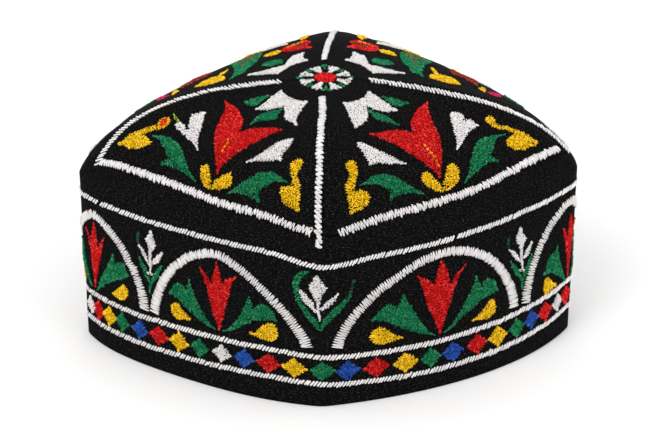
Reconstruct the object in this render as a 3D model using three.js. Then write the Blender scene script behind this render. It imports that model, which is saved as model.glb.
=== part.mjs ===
// A four-cornered embroidered skullcap, standing on its rim, with one corner to the front.
// Millimetres, +Z up, front corner towards -Y. The origin lies on the surface that the cap stands on,
// under the middle of its plan. The cap is five pieces of stiffened cotton: a band that stands up from
// the rim and turns over the fold, and four triangular gores that meet at the top.
import * as THREE from "three";

// The band is ruled between two plan sections. Each has four round corners and four bulging sides.
// cornerReach and sideReach are measured from the middle to a corner and to the middle of a side.
// The front left side is the flattest: its middle lies flattening millimetres further in.
const rim = { height: 0, cornerReach: 105, sideReach: 93.8, cornerRadius: 12, flattening: 4.5 };
const fold = { height: 77.5, cornerReach: 107.5, sideReach: 87.4, cornerRadius: 18, flattening: 1.5 };

// The cap stands a little squashed: its front two sides are shallower than the back two.
const frontDepthShare = 0.69;
const backDepthShare = 1.1;
const skewShare = 0.06; // sideways lean of the front and back corners, for each millimetre of depth

// The crown rises from the fold to the top. A fuller profile is flatter at the top, and a rounder one
// leaves the fold more steeply. The profile of the four ridges blends into that of the gores' middles.
const top = { height: 115, offsetX: -2, offsetY: 13 };
const ridgeProfile = { fullness: 2.9, rounding: 1.3 };
const goreProfile = { fullness: 1.9, rounding: 2.05 };
const ridgeNarrowness = 5.5;

// The gores are sewn to the band a little way in from the fold, closer to it at the front and back.
const seamReachMean = 0.97;
const seamReachSwing = 0.015;
const topHoleReach = 0.012; // the four points stop just short of the top

const clothThickness = 2.4; // cotton over stiffened lining
const hemRounding = 0.5;
const pieceGap = 0.3;

// Mesh steps
const quarterColumns = 20;
const cornerCrowding = 0.5; // columns lie closer together towards the corners
const bandRows = 4;
const turnOverRows = 3;
const goreRows = 12;

const black = 0x0d0c0e;
const bandCloth = new THREE.MeshStandardMaterial({ color: black, roughness: 0.95, metalness: 0 });
const goreCloth = new THREE.MeshStandardMaterial({ color: black, roughness: 0.9, metalness: 0 });

const planShiftY = (fold.cornerReach * (backDepthShare - frontDepthShare)) / 2;

const mix = (a, b, share) => a + (b - a) * share;

// The arcs of a section: the side's radius, the distance of its centre past the middle, and the angle
// of a round corner's half.
function arcsOf({ cornerReach, sideReach, cornerRadius }) {
  const cornerCentre = cornerReach - cornerRadius;
  const sideInner = sideReach - cornerRadius;
  const sideCentre =
    (cornerCentre ** 2 - sideInner ** 2) / (2 * sideInner - Math.SQRT2 * cornerCentre);
  const across = sideCentre / Math.SQRT2;
  return {
    cornerCentre,
    across,
    sideRadius: sideCentre + sideReach,
    cornerAngle: Math.atan2(across, cornerCentre + across),
  };
}

const frontLeftQuarter = 3;

// A point of a section before it is squashed. turn runs from 0 at the front corner over the right one
// (0.25), the back one (0.5) and the left one (0.75), in equal steps of length along the round arcs.
function sectionPoint(section, turn) {
  const { cornerCentre, across, sideRadius, cornerAngle } = arcsOf(section);
  const quarters = (turn - Math.floor(turn)) * 4;
  const quarter = Math.floor(quarters);
  const share = quarters - quarter;
  const cornerLength = section.cornerRadius * cornerAngle;
  const sideLength = sideRadius * (Math.PI / 4 - cornerAngle);
  const run = 2 * Math.min(share, 1 - share) * (cornerLength + sideLength);
  const onCorner = run <= cornerLength;
  const angle = onCorner
    ? run / section.cornerRadius
    : cornerAngle + (run - cornerLength) / sideRadius;
  const radius = onCorner ? section.cornerRadius : sideRadius;
  const near = (onCorner ? cornerCentre : -across) + radius * Math.cos(angle);
  const far = (onCorner ? 0 : -across) + radius * Math.sin(angle);
  const [ahead, aside] = share <= 0.5 ? [near, far] : [far, near];
  const turned = new THREE.Vector2(aside, -ahead);
  if (quarter === frontLeftQuarter) {
    const inward = section.flattening * Math.sin(Math.PI * share) ** 2;
    turned.add(new THREE.Vector2(-inward, inward).multiplyScalar(Math.SQRT1_2));
  }
  return turned.rotateAround(new THREE.Vector2(), (quarter * Math.PI) / 2);
}

function planPoint(section, turn) {
  const point = sectionPoint(section, turn);
  point.y *= point.y < 0 ? frontDepthShare : backDepthShare;
  point.x += skewShare * point.y;
  return point;
}

const rise = (reach, { fullness, rounding }) =>
  (top.height - fold.height) * Math.max(0, 1 - reach ** fullness) ** (1 / rounding);

// A point of the outer surface. climb runs from 0 at the rim to 1 at the fold and 2 at the top.
// On the crown, reach is the share of the way out from the top to the fold.
function outerPoint(turn, climb) {
  if (climb <= 1) {
    const plan = planPoint(rim, turn).lerp(planPoint(fold, turn), climb);
    return new THREE.Vector3(plan.x, plan.y - planShiftY, mix(rim.height, fold.height, climb));
  }
  const reach = 1 - (climb - 1) ** 2;
  const plan = planPoint(fold, turn).multiplyScalar(reach);
  const nearRidge = (Math.cos(4 * Math.PI * turn) ** 2) ** ridgeNarrowness;
  const up = mix(rise(reach, goreProfile), rise(reach, ridgeProfile), nearRidge);
  return new THREE.Vector3(
    plan.x + (1 - reach) * top.offsetX,
    plan.y + (1 - reach) * top.offsetY - planShiftY,
    fold.height + up,
  );
}

const slopeStep = 0.002;

function slopesAt(turn, climb) {
  const low = Math.max(0, climb - slopeStep);
  const high = Math.min(2, climb + slopeStep);
  const along = outerPoint(turn + slopeStep, climb).sub(outerPoint(turn - slopeStep, climb));
  const upward = outerPoint(turn, high).sub(outerPoint(turn, low));
  return {
    along: along.divideScalar(2 * slopeStep),
    upward: upward.divideScalar(high - low),
  };
}

// A point under the outer surface, depth millimetres into the cloth. The hem's points stay level.
function clothPoint(turn, climb, depth) {
  const { along, upward } = slopesAt(turn, climb);
  const outward = along.cross(upward);
  if (climb * fold.height <= hemRounding) outward.z = 0;
  return outerPoint(turn, climb).addScaledVector(outward.normalize(), -depth);
}

// How much climb or turn a stretch of the surface takes up there.
const climbFor = (length, turn, climb) => length / slopesAt(turn, climb).upward.length();
const turnFor = (length, turn, climb) => length / slopesAt(turn, climb).along.length();

function seamClimb(turn) {
  const reach = seamReachMean + seamReachSwing * Math.cos(4 * Math.PI * turn);
  return 1 + Math.sqrt(1 - reach);
}

// Shares of one quarter turn, closer together at its ends.
function quarterShares() {
  return Array.from({ length: quarterColumns + 1 }, (_, i) => {
    const share = i / quarterColumns;
    return share - (cornerCrowding * Math.sin(2 * Math.PI * share)) / (2 * Math.PI);
  });
}

function meshFrom(name, material, points, triangles) {
  const geometry = new THREE.BufferGeometry().setFromPoints(points);
  geometry.setIndex(triangles);
  geometry.computeVertexNormals();
  const mesh = new THREE.Mesh(geometry, material);
  mesh.name = name;
  return mesh;
}

// The two triangles of a quad whose corners are named in order, seen from outside.
const quad = (a, b, c, d) => [a, b, c, a, c, d];

// The band: a closed ring of cloth. Its section runs up the outside and back down the inside.
function makeBand() {
  const hemClimb = hemRounding / fold.height;
  const turns = [0, 1, 2, 3].flatMap((quarter) =>
    quarterShares()
      .slice(0, -1)
      .map((share) => (quarter + share) / 4),
  );
  const climbsAt = (turn) => {
    const edge = seamClimb(turn) - climbFor(pieceGap / 2, turn, seamClimb(turn));
    const wall = Array.from({ length: bandRows + 1 }, (_, i) => mix(hemClimb, 1, i / bandRows));
    const over = Array.from({ length: turnOverRows }, (_, i) => mix(1, edge, (i + 1) / turnOverRows));
    return [...wall, ...over];
  };
  const sectionOf = (turn) => {
    const climbs = climbsAt(turn);
    return [
      clothPoint(turn, 0, hemRounding),
      ...climbs.map((climb) => clothPoint(turn, climb, 0)),
      ...climbs.reverse().map((climb) => clothPoint(turn, climb, clothThickness)),
      clothPoint(turn, 0, clothThickness - hemRounding),
    ];
  };
  const sections = turns.map(sectionOf);
  const size = sections[0].length;
  const triangles = [];
  sections.forEach((_, i) => {
    const here = i * size;
    const next = ((i + 1) % sections.length) * size;
    for (let j = 0; j < size; j++) {
      const up = (j + 1) % size;
      triangles.push(...quad(here + j, next + j, next + up, here + up));
    }
  });
  return meshFrom("band", bandCloth, sections.flat(), triangles);
}

// One gore: a shell of cloth over one quarter of the crown, with an outer face, an inner face and
// four edges. It keeps its gap to the band and to the gores beside it.
function makeGore(name, quarter) {
  const shares = quarterShares();
  const lastColumn = shares.length - 1;
  const topClimb = 1 + Math.sqrt(1 - topHoleReach);
  const faceAt = (depth) =>
    Array.from({ length: goreRows + 1 }, (_, row) =>
      shares.map((share, column) => {
        const plain = (quarter + share) / 4;
        const base = seamClimb(plain) + climbFor(pieceGap / 2, plain, seamClimb(plain));
        const climb = mix(base, topClimb, row / goreRows);
        const middle = (quarter + 0.5) / 4;
        const ridge = (quarter + Math.round(share)) / 4;
        const inset = turnFor(pieceGap / 2, ridge, climb) / 0.125;
        return clothPoint(mix(plain, middle, inset), climb, depth);
      }),
    ).flat();
  const outer = faceAt(0);
  const under = outer.length;
  const at = (row, column) => row * shares.length + column;
  const triangles = [];
  for (let row = 0; row < goreRows; row++)
    for (let column = 0; column < lastColumn; column++) {
      const corners = [at(row, column), at(row, column + 1), at(row + 1, column + 1), at(row + 1, column)];
      triangles.push(...quad(...corners));
      triangles.push(...quad(...corners.map((corner) => corner + under).reverse()));
    }
  const edge = (from, to) => triangles.push(...quad(from, to, to + under, from + under));
  for (let column = 0; column < lastColumn; column++) {
    edge(at(0, column + 1), at(0, column));
    edge(at(goreRows, column), at(goreRows, column + 1));
  }
  for (let row = 0; row < goreRows; row++) {
    edge(at(row, 0), at(row + 1, 0));
    edge(at(row + 1, lastColumn), at(row, lastColumn));
  }
  return meshFrom(name, goreCloth, [...outer, ...faceAt(clothThickness)], triangles);
}

const goreNames = ["gore_front_right", "gore_back_right", "gore_back_left", "gore_front_left"];

const skullcap = new THREE.Group();
skullcap.add(makeBand(), ...goreNames.map(makeGore));

export default skullcap;
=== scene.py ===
import math

import bpy
import numpy as np
from mathutils import Matrix, Vector


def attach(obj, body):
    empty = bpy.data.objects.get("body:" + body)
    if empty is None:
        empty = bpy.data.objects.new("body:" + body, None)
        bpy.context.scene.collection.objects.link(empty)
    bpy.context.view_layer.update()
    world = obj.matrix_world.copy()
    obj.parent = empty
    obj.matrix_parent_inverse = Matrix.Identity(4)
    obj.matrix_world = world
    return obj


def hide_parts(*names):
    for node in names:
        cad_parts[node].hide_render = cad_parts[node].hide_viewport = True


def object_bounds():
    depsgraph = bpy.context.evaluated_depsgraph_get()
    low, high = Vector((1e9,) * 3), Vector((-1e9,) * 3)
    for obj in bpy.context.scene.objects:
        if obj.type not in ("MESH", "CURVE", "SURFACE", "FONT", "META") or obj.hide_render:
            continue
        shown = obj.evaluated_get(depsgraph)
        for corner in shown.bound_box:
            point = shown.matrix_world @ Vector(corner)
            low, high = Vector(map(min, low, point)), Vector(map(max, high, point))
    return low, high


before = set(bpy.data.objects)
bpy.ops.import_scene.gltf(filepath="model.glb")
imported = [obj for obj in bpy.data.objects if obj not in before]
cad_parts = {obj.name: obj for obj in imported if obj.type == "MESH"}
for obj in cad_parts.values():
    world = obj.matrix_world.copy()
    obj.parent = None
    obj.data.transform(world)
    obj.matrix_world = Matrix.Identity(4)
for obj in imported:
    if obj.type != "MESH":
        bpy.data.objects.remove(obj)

# An embroidered skullcap that stands on its rim, one corner to the front.
# Shapes are worked out in millimetres and become metres when a mesh is made.
mm = 0.001
dice = np.random.default_rng(41)
cadLow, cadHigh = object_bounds()
print("skullcap: frame loaded,", len(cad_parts), "nodes")

# The cap's surface: a band ruled between two plan sections, and a crown that rises to the top.
cap = {
    "foldReach": (cadHigh[0] - cadLow[0]) / 2 / mm,  # middle to a corner, along the fold
    "topHeight": round(cadHigh[2] / mm, 1),
    "foldHeight": 77.5,
    "rimReach": 105.0,
    "rimSide": 93.8,  # middle to the middle of a side
    "rimRounding": 12.0,
    "rimFlattening": 4.5,  # how far the front left side is pressed in
    "foldSide": 87.4,
    "foldRounding": 18.0,
    "foldFlattening": 1.5,
    "frontDepth": 0.69,  # the cap stands squashed, more so in front
    "backDepth": 1.1,
    "skew": 0.06,
    "topOffset": (-2.0, 13.0),
    "ridgeProfile": (2.9, 1.3),  # fullness, rounding
    "goreProfile": (1.9, 2.05),
    "ridgeNarrowness": 5.5,
    "seamReach": 0.97,
    "seamSwing": 0.015,
    "thickness": 2.4,
    "handWork": 0.22,  # depth of the dimples that hand sewing leaves
}

rimSection = {
    "reach": cap["rimReach"],
    "side": cap["rimSide"],
    "rounding": cap["rimRounding"],
    "flattening": cap["rimFlattening"],
}
foldSection = {
    "reach": cap["foldReach"],
    "side": cap["foldSide"],
    "rounding": cap["foldRounding"],
    "flattening": cap["foldFlattening"],
}
planShift = cap["foldReach"] * (cap["backDepth"] - cap["frontDepth"]) / 2
frontLeftQuarter = 3


def blendTo(a, b, share):
    return a + (b - a) * share


def planAt(section, turn):
    # turn 0 is the front corner, 0.25 the right one, 0.5 the back one and 0.75 the left one
    cornerCentre = section["reach"] - section["rounding"]
    sideInner = section["side"] - section["rounding"]
    sideCentre = (cornerCentre**2 - sideInner**2) / (2 * sideInner - math.sqrt(2) * cornerCentre)
    across = sideCentre / math.sqrt(2)
    sideRadius = sideCentre + section["side"]
    cornerAngle = math.atan2(across, cornerCentre + across)
    quarters = (turn % 1.0) * 4
    quarter = np.floor(quarters)
    share = quarters - quarter
    cornerLength = section["rounding"] * cornerAngle
    sideLength = sideRadius * (math.pi / 4 - cornerAngle)
    run = 2 * np.minimum(share, 1 - share) * (cornerLength + sideLength)
    onCorner = run <= cornerLength
    sideAngle = cornerAngle + (run - cornerLength) / sideRadius
    angle = np.where(onCorner, run / section["rounding"], sideAngle)
    radius = np.where(onCorner, section["rounding"], sideRadius)
    near = np.where(onCorner, cornerCentre, -across) + radius * np.cos(angle)
    far = np.where(onCorner, 0, -across) + radius * np.sin(angle)
    ahead = np.where(share <= 0.5, near, far)
    aside = np.where(share <= 0.5, far, near)
    flat = section["flattening"] * np.sin(math.pi * share) ** 2 / math.sqrt(2)
    inward = np.where(quarter == frontLeftQuarter, flat, 0)
    x = aside - inward
    y = inward - ahead
    spin = quarter * math.pi / 2
    turnedX = x * np.cos(spin) - y * np.sin(spin)
    turnedY = x * np.sin(spin) + y * np.cos(spin)
    depth = np.where(turnedY < 0, cap["frontDepth"], cap["backDepth"])
    planY = turnedY * depth
    return turnedX + cap["skew"] * planY, planY


def riseAt(reach, profile):
    fullness, rounding = profile
    height = cap["topHeight"] - cap["foldHeight"]
    return height * np.maximum(0, 1 - reach**fullness) ** (1 / rounding)


def capPoint(turn, climb):
    # climb 0 is the rim, 1 the fold and 2 the top
    turn, climb = np.broadcast_arrays(np.asarray(turn, float), np.asarray(climb, float))
    wall = np.clip(climb, 0, 1)
    reach = np.clip(1 - np.maximum(climb - 1, 0) ** 2, 0, 1)
    rimX, rimY = planAt(rimSection, turn)
    foldX, foldY = planAt(foldSection, turn)
    offsetX, offsetY = cap["topOffset"]
    x = blendTo(rimX, foldX, wall) * reach + (1 - reach) * offsetX
    y = blendTo(rimY, foldY, wall) * reach + (1 - reach) * offsetY - planShift
    nearRidge = (np.cos(4 * math.pi * turn) ** 2) ** cap["ridgeNarrowness"]
    up = blendTo(riseAt(reach, cap["goreProfile"]), riseAt(reach, cap["ridgeProfile"]), nearRidge)
    z = cap["foldHeight"] * wall + np.where(climb > 1, up, 0)
    return np.stack([x, y, z], axis=-1)


# Slow unevenness of hand-sewn cloth: waves round the cap, radians in one climb, start, strength
dimpleWaves = [(19, 9, 0, 1), (31, -14, 1.3, 1), (47, 23, 0.4, 0.7)]


def dimples(turn, climb):
    # they fade out towards the rim and the top
    ring = 2 * math.pi * turn
    wave = 0
    for count, lean, start, strength in dimpleWaves:
        wave = wave + strength * np.sin(count * ring + lean * climb + start)
    fade = np.clip(climb * 4, 0, 1) * np.clip((2 - climb) * 2, 0, 1)
    return cap["handWork"] * wave * fade / sum(row[-1] for row in dimpleWaves)


def capFrame(turn, climb):
    # points of the outer surface with their outward normals
    turn, climb = np.broadcast_arrays(np.asarray(turn, float), np.asarray(climb, float))
    step = 0.0015
    highEnd, lowEnd = 1.999, 1.998  # just under the top, where the surface still has a slope
    along = capPoint(turn + step, climb) - capPoint(turn - step, climb)
    high = capPoint(turn, np.minimum(climb + step, highEnd))
    upward = high - capPoint(turn, np.clip(climb - step, 0, lowEnd))
    normal = np.cross(along, upward)
    normal /= np.linalg.norm(normal, axis=-1, keepdims=True) + 1e-12
    point = capPoint(turn, climb) + normal * dimples(turn, climb)[..., None]
    return point, normal


def seamClimb(turn):
    reach = cap["seamReach"] + cap["seamSwing"] * np.cos(4 * math.pi * turn)
    return 1 + np.sqrt(1 - reach)


# Charts: where a point of the pattern, in millimetres, lies on the cap.
patternPitch = 11.06  # one diamond of the band's border, in the front quarters
frontPitches = 12  # in each front quarter
backPitches = 16
halfRound = frontPitches + backPitches
halfQuarter = 1 / 8  # of a turn
goreDepth = 95.0
goreHalfWidth = 66.5
goreHomes = {
    "front_right": (0.0, 1),
    "back_right": (0.5, -1),
    "back_left": (0.5, 1),
    "front_left": (1.0, -1),
}


def bandChart(x, y):
    # x runs to the right from the front corner, y up from the rim
    pitches = x / patternPitch
    size = np.abs(pitches)
    behind = 0.25 + (size - frontPitches) / (4 * backPitches)
    turn = np.sign(pitches) * np.where(size <= frontPitches, size / (4 * frontPitches), behind)
    return turn, y / cap["foldHeight"]


def crownClimb(y):
    # past the fold a chart goes on down the band
    reach = np.clip(y / goreDepth, 1e-4, 1)
    climb = np.where(y > goreDepth, 1 - (y - goreDepth) / cap["foldHeight"], 1 + np.sqrt(1 - reach))
    return reach, climb


def goreChart(gore):
    # y runs down from the top, and x across, from the gore's home ridge to the other one
    home, side = goreHomes[gore]

    def place(x, y):
        reach, climb = crownClimb(y)
        across = x / (reach * goreHalfWidth)
        return home + side * (across + 1) * halfQuarter, climb

    return place


def ridgeChart(ridge):
    # y runs down from the top along a ridge, x across it, anticlockwise seen from above
    def place(x, y):
        reach, climb = crownClimb(y)
        return ridge + x * halfQuarter / (reach * goreHalfWidth), climb

    return place


def topChart(x, y):
    # a flat plan round the top
    turns = np.linspace(0, 1, 721)  # every half degree
    foldX, foldY = planAt(foldSection, turns)
    spokeX = foldX - cap["topOffset"][0]
    spokeY = foldY - cap["topOffset"][1]
    angles = np.unwrap(np.arctan2(spokeX, -spokeY))
    angle = np.arctan2(x, -y)
    angle = np.where(angle < angles[0], angle + 2 * math.pi, angle)
    turn = np.interp(angle, angles, turns)
    length = np.interp(turn, turns, np.hypot(spokeX, spokeY))
    reach = np.clip(np.hypot(x, y) / length, 1e-5, 1)
    return turn, 1 + np.sqrt(1 - reach)


# Curves
tip = "tip"  # marks a point where an outline turns sharply


def smoothRun(points, before, after, step):
    # Catmull-Rom curve through a run of points
    nodes = np.array([before, *points, after], float)
    made = []
    for i in range(1, len(nodes) - 2):
        a, b, c, d = nodes[i - 1 : i + 3]
        count = max(2, int(np.hypot(*(c - b)) / step))
        t = (np.arange(count) / count)[:, None]
        square = 2 * a - 5 * b + 4 * c - d
        cube = 3 * b - a - 3 * c + d
        made.append(0.5 * (2 * b + (c - a) * t + square * t**2 + cube * t**3))
    return np.concatenate(made)


def outlineOf(points, step=0.3):
    # a closed outline, smooth everywhere but at its tips, and where along it the tips are
    count = len(points)
    flat = np.array([p[:2] for p in points], float)
    sharp = [i for i, p in enumerate(points) if len(p) == 3]
    corners = [0]
    if not sharp:
        made = smoothRun([*flat, flat[0]], flat[-1], flat[1], step)
    else:
        runs = []
        for j, first in enumerate(sharp):
            last = sharp[(j + 1) % len(sharp)]
            length = (last - first - 1) % count + 1
            run = [flat[(first + k) % count] for k in range(length + 1)]
            runs.append(smoothRun(run, 2 * run[0] - run[1], 2 * run[-1] - run[-2], step))
            corners.append(corners[-1] + len(runs[-1]))
        made = np.concatenate(runs)
        corners.pop()
    turning = np.sum(made[:, 0] * np.roll(made[:, 1], -1) - np.roll(made[:, 0], -1) * made[:, 1])
    if turning < 0:
        made = made[::-1]
        corners = [len(made) - 1 - corner for corner in corners]
    return made, sorted(corners)


def chartSlopes(chart, points):
    # how the cap's surface moves for each chart millimetre, across and along y
    nudge = 0.05
    x, y = points[:, 0], points[:, 1]
    slopeX = capPoint(*chart(x + nudge, y)) - capPoint(*chart(x - nudge, y))
    slopeY = capPoint(*chart(x, y + nudge)) - capPoint(*chart(x, y - nudge))
    return np.stack([slopeX, slopeY], axis=-1) / (2 * nudge)


def trueMoves(chart, points, direction):
    # chart moves that are one real millimetre along a direction, and square to it
    slopes = chartSlopes(chart, points)
    turned = np.stack([-direction[:, 1], direction[:, 0]], axis=1)
    ahead = np.einsum("nij,nj->ni", slopes, direction)
    ahead /= np.linalg.norm(ahead, axis=1, keepdims=True) + 1e-12
    across = np.einsum("nij,nj->ni", slopes, turned)
    across -= ahead * np.sum(ahead * across, axis=1, keepdims=True)
    across /= np.linalg.norm(across, axis=1, keepdims=True) + 1e-12
    metric = np.linalg.inv(np.einsum("nij,nik->njk", slopes, slopes) + 1e-9 * np.eye(2))
    back = np.einsum("njk,nik->nji", metric, slopes)
    return np.einsum("nji,ni->nj", back, ahead), np.einsum("nji,ni->nj", back, across)


def measured(chart, path, closed=False):
    # the real length so far at each point of a path, and a way to find the point at a length
    if closed:
        path = np.vstack([path, path[:1]])
    onCap = capPoint(*chart(path[:, 0], path[:, 1]))
    run = np.concatenate([[0], np.cumsum(np.linalg.norm(np.diff(onCap, axis=0), axis=1))])

    def along(length):
        length = length % run[-1] if closed else length
        return np.stack([np.interp(length, run, path[:, 0]), np.interp(length, run, path[:, 1])], axis=1)

    return run, along


def headingAt(along, at, reach=0.2):
    heading = along(at + reach) - along(at - reach)
    return heading / (np.hypot(*heading.T)[:, None] + 1e-9)


def evenly(chart, path, step):
    # points at equal real steps along a path, with its direction, the lengths so far and their total
    run, along = measured(chart, path)
    count = max(3, int(round(run[-1] / step)))
    at = (np.arange(count) + 0.5) * run[-1] / count
    return along(at), headingAt(along, at), at, run[-1]


def edgeHoles(chart, outline, corners, look):
    # a point every half tooth round an outline, one of them at each corner
    run, along = measured(chart, outline, closed=True)
    marks = run[corners]
    marks = np.append(marks, marks[0] + run[-1])
    at = []
    for first, last in zip(marks[:-1], marks[1:]):
        teeth = max(1, round((last - first) / look["tooth"]))
        at.append(np.linspace(first, last, 2 * teeth + 1)[:-1])
    at = np.concatenate(at)
    return along(at), headingAt(along, at, look["turning"])


def isInside(points, outline):
    x, y = points[:, :1], points[:, 1:]
    ax, ay = outline.T
    bx, by = np.roll(outline, -1, axis=0).T
    crosses = (ay > y) != (by > y)
    with np.errstate(divide="ignore", invalid="ignore"):
        hitX = ax + (y - ay) * (bx - ax) / (by - ay)
    return np.sum(crosses & (x < hitX), axis=1) % 2 == 1


def nearestEdge(points, outline):
    # distance to the outline, and the direction from it into the shape
    a = outline
    b = np.roll(outline, -1, axis=0)
    edge = b - a
    lengths = np.sum(edge**2, axis=1) + 1e-12
    share = np.clip(np.einsum("nmk,mk->nm", points[:, None] - a, edge) / lengths, 0, 1)
    foot = a + edge * share[..., None]
    away = points[:, None] - foot
    distance = np.hypot(away[..., 0], away[..., 1])
    nearest = distance.argmin(axis=1)
    rows = np.arange(len(points))
    inward = away[rows, nearest] / (distance[rows, nearest][:, None] + 1e-9)
    return distance[rows, nearest], inward


def roomAhead(origins, directions, outline):
    # how far it is across the shape
    ownEdge = 0.25  # anything nearer is the edge where the way starts
    farAway = 50
    a = outline
    edge = np.roll(outline, -1, axis=0) - a
    ox, oy = origins[:, :1], origins[:, 1:]
    dx, dy = directions[:, :1], directions[:, 1:]
    cross = dx * edge[:, 1] - dy * edge[:, 0]
    cross = np.where(np.abs(cross) < 1e-9, 1e-9, cross)
    gapX, gapY = a[:, 0] - ox, a[:, 1] - oy
    run = (gapX * edge[:, 1] - gapY * edge[:, 0]) / cross
    share = (gapX * dy - gapY * dx) / cross
    isHit = (share >= 0) & (share <= 1) & (run > ownEdge)
    return np.where(isHit, run, farAway).min(axis=1)


# Stitches. Each is a small closed tent of thread whose ends go down into the cloth.
shortStitch = {"shares": (0, 0.25, 0.75, 1), "lifts": (0, 0.9, 0.9, 0)}
edgeStitch = {"shares": (0, 0.34, 0.8, 1), "lifts": (0, 0.9, 0.9, 0)}
longStitch = {"shares": (0, 0.15, 0.5, 0.85, 1), "lifts": (0, 0.8, 1, 0.8, 0), "bows": (0, 0.5, 1, 0.5, 0)}
endSink = 0.25  # how far a stitch's two ends go into the cloth
footSink = 0.06  # how far its long sides do
footLift = 0.15  # the sides' height for the painted shade at a stitch's roots, where the middle has 1


def layStitches(chart, start, end, width, height, kind, shade=None, bow=0.0):
    # start and end are chart points, and bow is a long stitch's bulge sideways
    shares = np.array(kind["shares"])
    lifts = np.array(kind["lifts"])
    count = len(start)
    x = blendTo(start[:, :1], end[:, :1], shares)
    y = blendTo(start[:, 1:], end[:, 1:], shares)
    point, normal = capFrame(*chart(x, y))
    direction = np.gradient(point, axis=1)
    side = np.cross(normal, direction)
    side /= np.linalg.norm(side, axis=-1, keepdims=True) + 1e-12
    width = np.broadcast_to(width, count)[:, None, None]
    height = np.broadcast_to(height, count)[:, None]
    if bow:
        point = point + side * (np.array(kind["bows"]) * bow)[:, None]
    tops = point + normal * (height * lifts)[..., None]
    feet = point - normal * footSink
    inner = slice(1, len(shares) - 1)
    rings = np.stack([feet - side * width / 2, tops, feet + side * width / 2], axis=2)
    rings = rings[:, inner].reshape(count, -1, 3)
    ends = point[:, [0, -1]] - normal[:, [0, -1]] * endSink
    vertices = np.concatenate([ends[:, :1], rings, ends[:, 1:]], axis=1)
    ringCount = len(shares) - 2
    length = np.linalg.norm(point[:, -1] - point[:, 0], axis=-1)
    ringRun = np.repeat(shares[inner], 3)
    run = np.concatenate([[0], ringRun, [1]])[None] * length[:, None]
    sideways = np.concatenate([[0], np.tile([-1, 0, 1], ringCount), [0]])
    lift = np.concatenate([[0], np.tile([footLift, 1, footLift], ringCount), [0]])
    if shade is None:
        shade = dice.uniform(-1, 1, count)
    size = vertices.shape[1]
    faces = stitchFaces(ringCount)
    return {
        "vertices": vertices.reshape(-1, 3),
        "faces": (faces[None] + (np.arange(count) * size)[:, None, None]).reshape(-1, 3),
        "threadShade": np.repeat(shade, size),
        "threadLift": np.tile(lift, count),
        "threadRun": run.reshape(-1),
        "threadSide": np.tile(sideways, count),
    }


def stitchFaces(ringCount):
    # three corners in each ring, and a point at each end
    faces = [(0, 1, 2), (0, 2, 3), (0, 3, 1)]
    for ring in range(ringCount - 1):
        a = 1 + ring * 3
        b = a + 3
        for j in range(3):
            k = (j + 1) % 3
            faces += [(a + j, b + j, b + k), (a + j, b + k, a + k)]
    last = 1 + ringCount * 3
    a = last - 3
    faces += [(last, a + 1, a), (last, a + 2, a + 1), (last, a, a + 2)]
    return np.array(faces)


def crossLine(chart, path, look):
    # threads that cross a path between holes on its two sides. Two legs make a zigzag, one a rope.
    points, direction, at, total = evenly(chart, path, look["tooth"])
    aheadMove, acrossMove = trueMoves(chart, points, direction)
    count = len(at)
    tooth = total / count
    slant = np.interp(at / total, *zip(*look["slant"]))
    halfWidth = np.interp(at / total, *zip(*look["widths"])) / 2
    pace = tooth / 4 if look["legs"] == 2 else 0

    def sideHoles(hand):
        reach = halfWidth + dice.normal(0, look["ragged"], count)
        slide = hand * (slant / 2 + pace) + dice.normal(0, look["ragged"] * look["slide"], count)
        return points + acrossMove * (hand * reach)[:, None] + aheadMove * slide[:, None]

    left, right = sideHoles(-1), sideHoles(1)
    legs = [(left, right, aheadMove)]
    if look["legs"] == 2:
        legs.append((right[:-1], left[1:], aheadMove[:-1]))
    batches = []
    for start, end, ahead in legs:
        tone = dice.uniform(-1, 1, len(start)) * look["legTone"]
        for strand in range(look["strands"]):
            fromMiddle = strand - (look["strands"] - 1) / 2
            stray = dice.normal(0, look["stray"], len(start))
            shift = ahead * (fromMiddle * look["spread"] + stray)[:, None]
            height = look["height"] * dice.uniform(*look["heights"], len(start))
            shade = np.clip(tone + dice.uniform(-1, 1, len(start)) * look["strandTone"], -1, 1)
            trim = (end - start) * dice.uniform(0, look["trim"], len(start))[:, None]
            first, last = start + shift + trim, end + shift - trim
            bow = fromMiddle * look["bow"]
            batches.append(layStitches(chart, first, last, look["thread"], height, longStitch, shade, bow))
    return batches


def runLine(chart, path, look):
    # stitches laid end to end along a path, in a few loose strands
    batches = []
    for strand in range(look["strands"]):
        points, direction, at, _ = evenly(chart, path, look["length"])
        aheadMove, acrossMove = trueMoves(chart, points, direction)
        fromMiddle = strand - (look["strands"] - 1) / 2
        aside = fromMiddle * look["thread"] + dice.normal(0, look["stray"], len(at))
        half = look["length"] * dice.uniform(*look["halves"], len(at))
        middle = points + acrossMove * aside[:, None]
        heading = aheadMove * half[:, None] + acrossMove * dice.normal(0, look["stray"], len(at))[:, None]
        ends = middle - heading, middle + heading
        batches.append(layStitches(chart, *ends, look["thread"], look["height"], shortStitch))
    return batches


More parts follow.
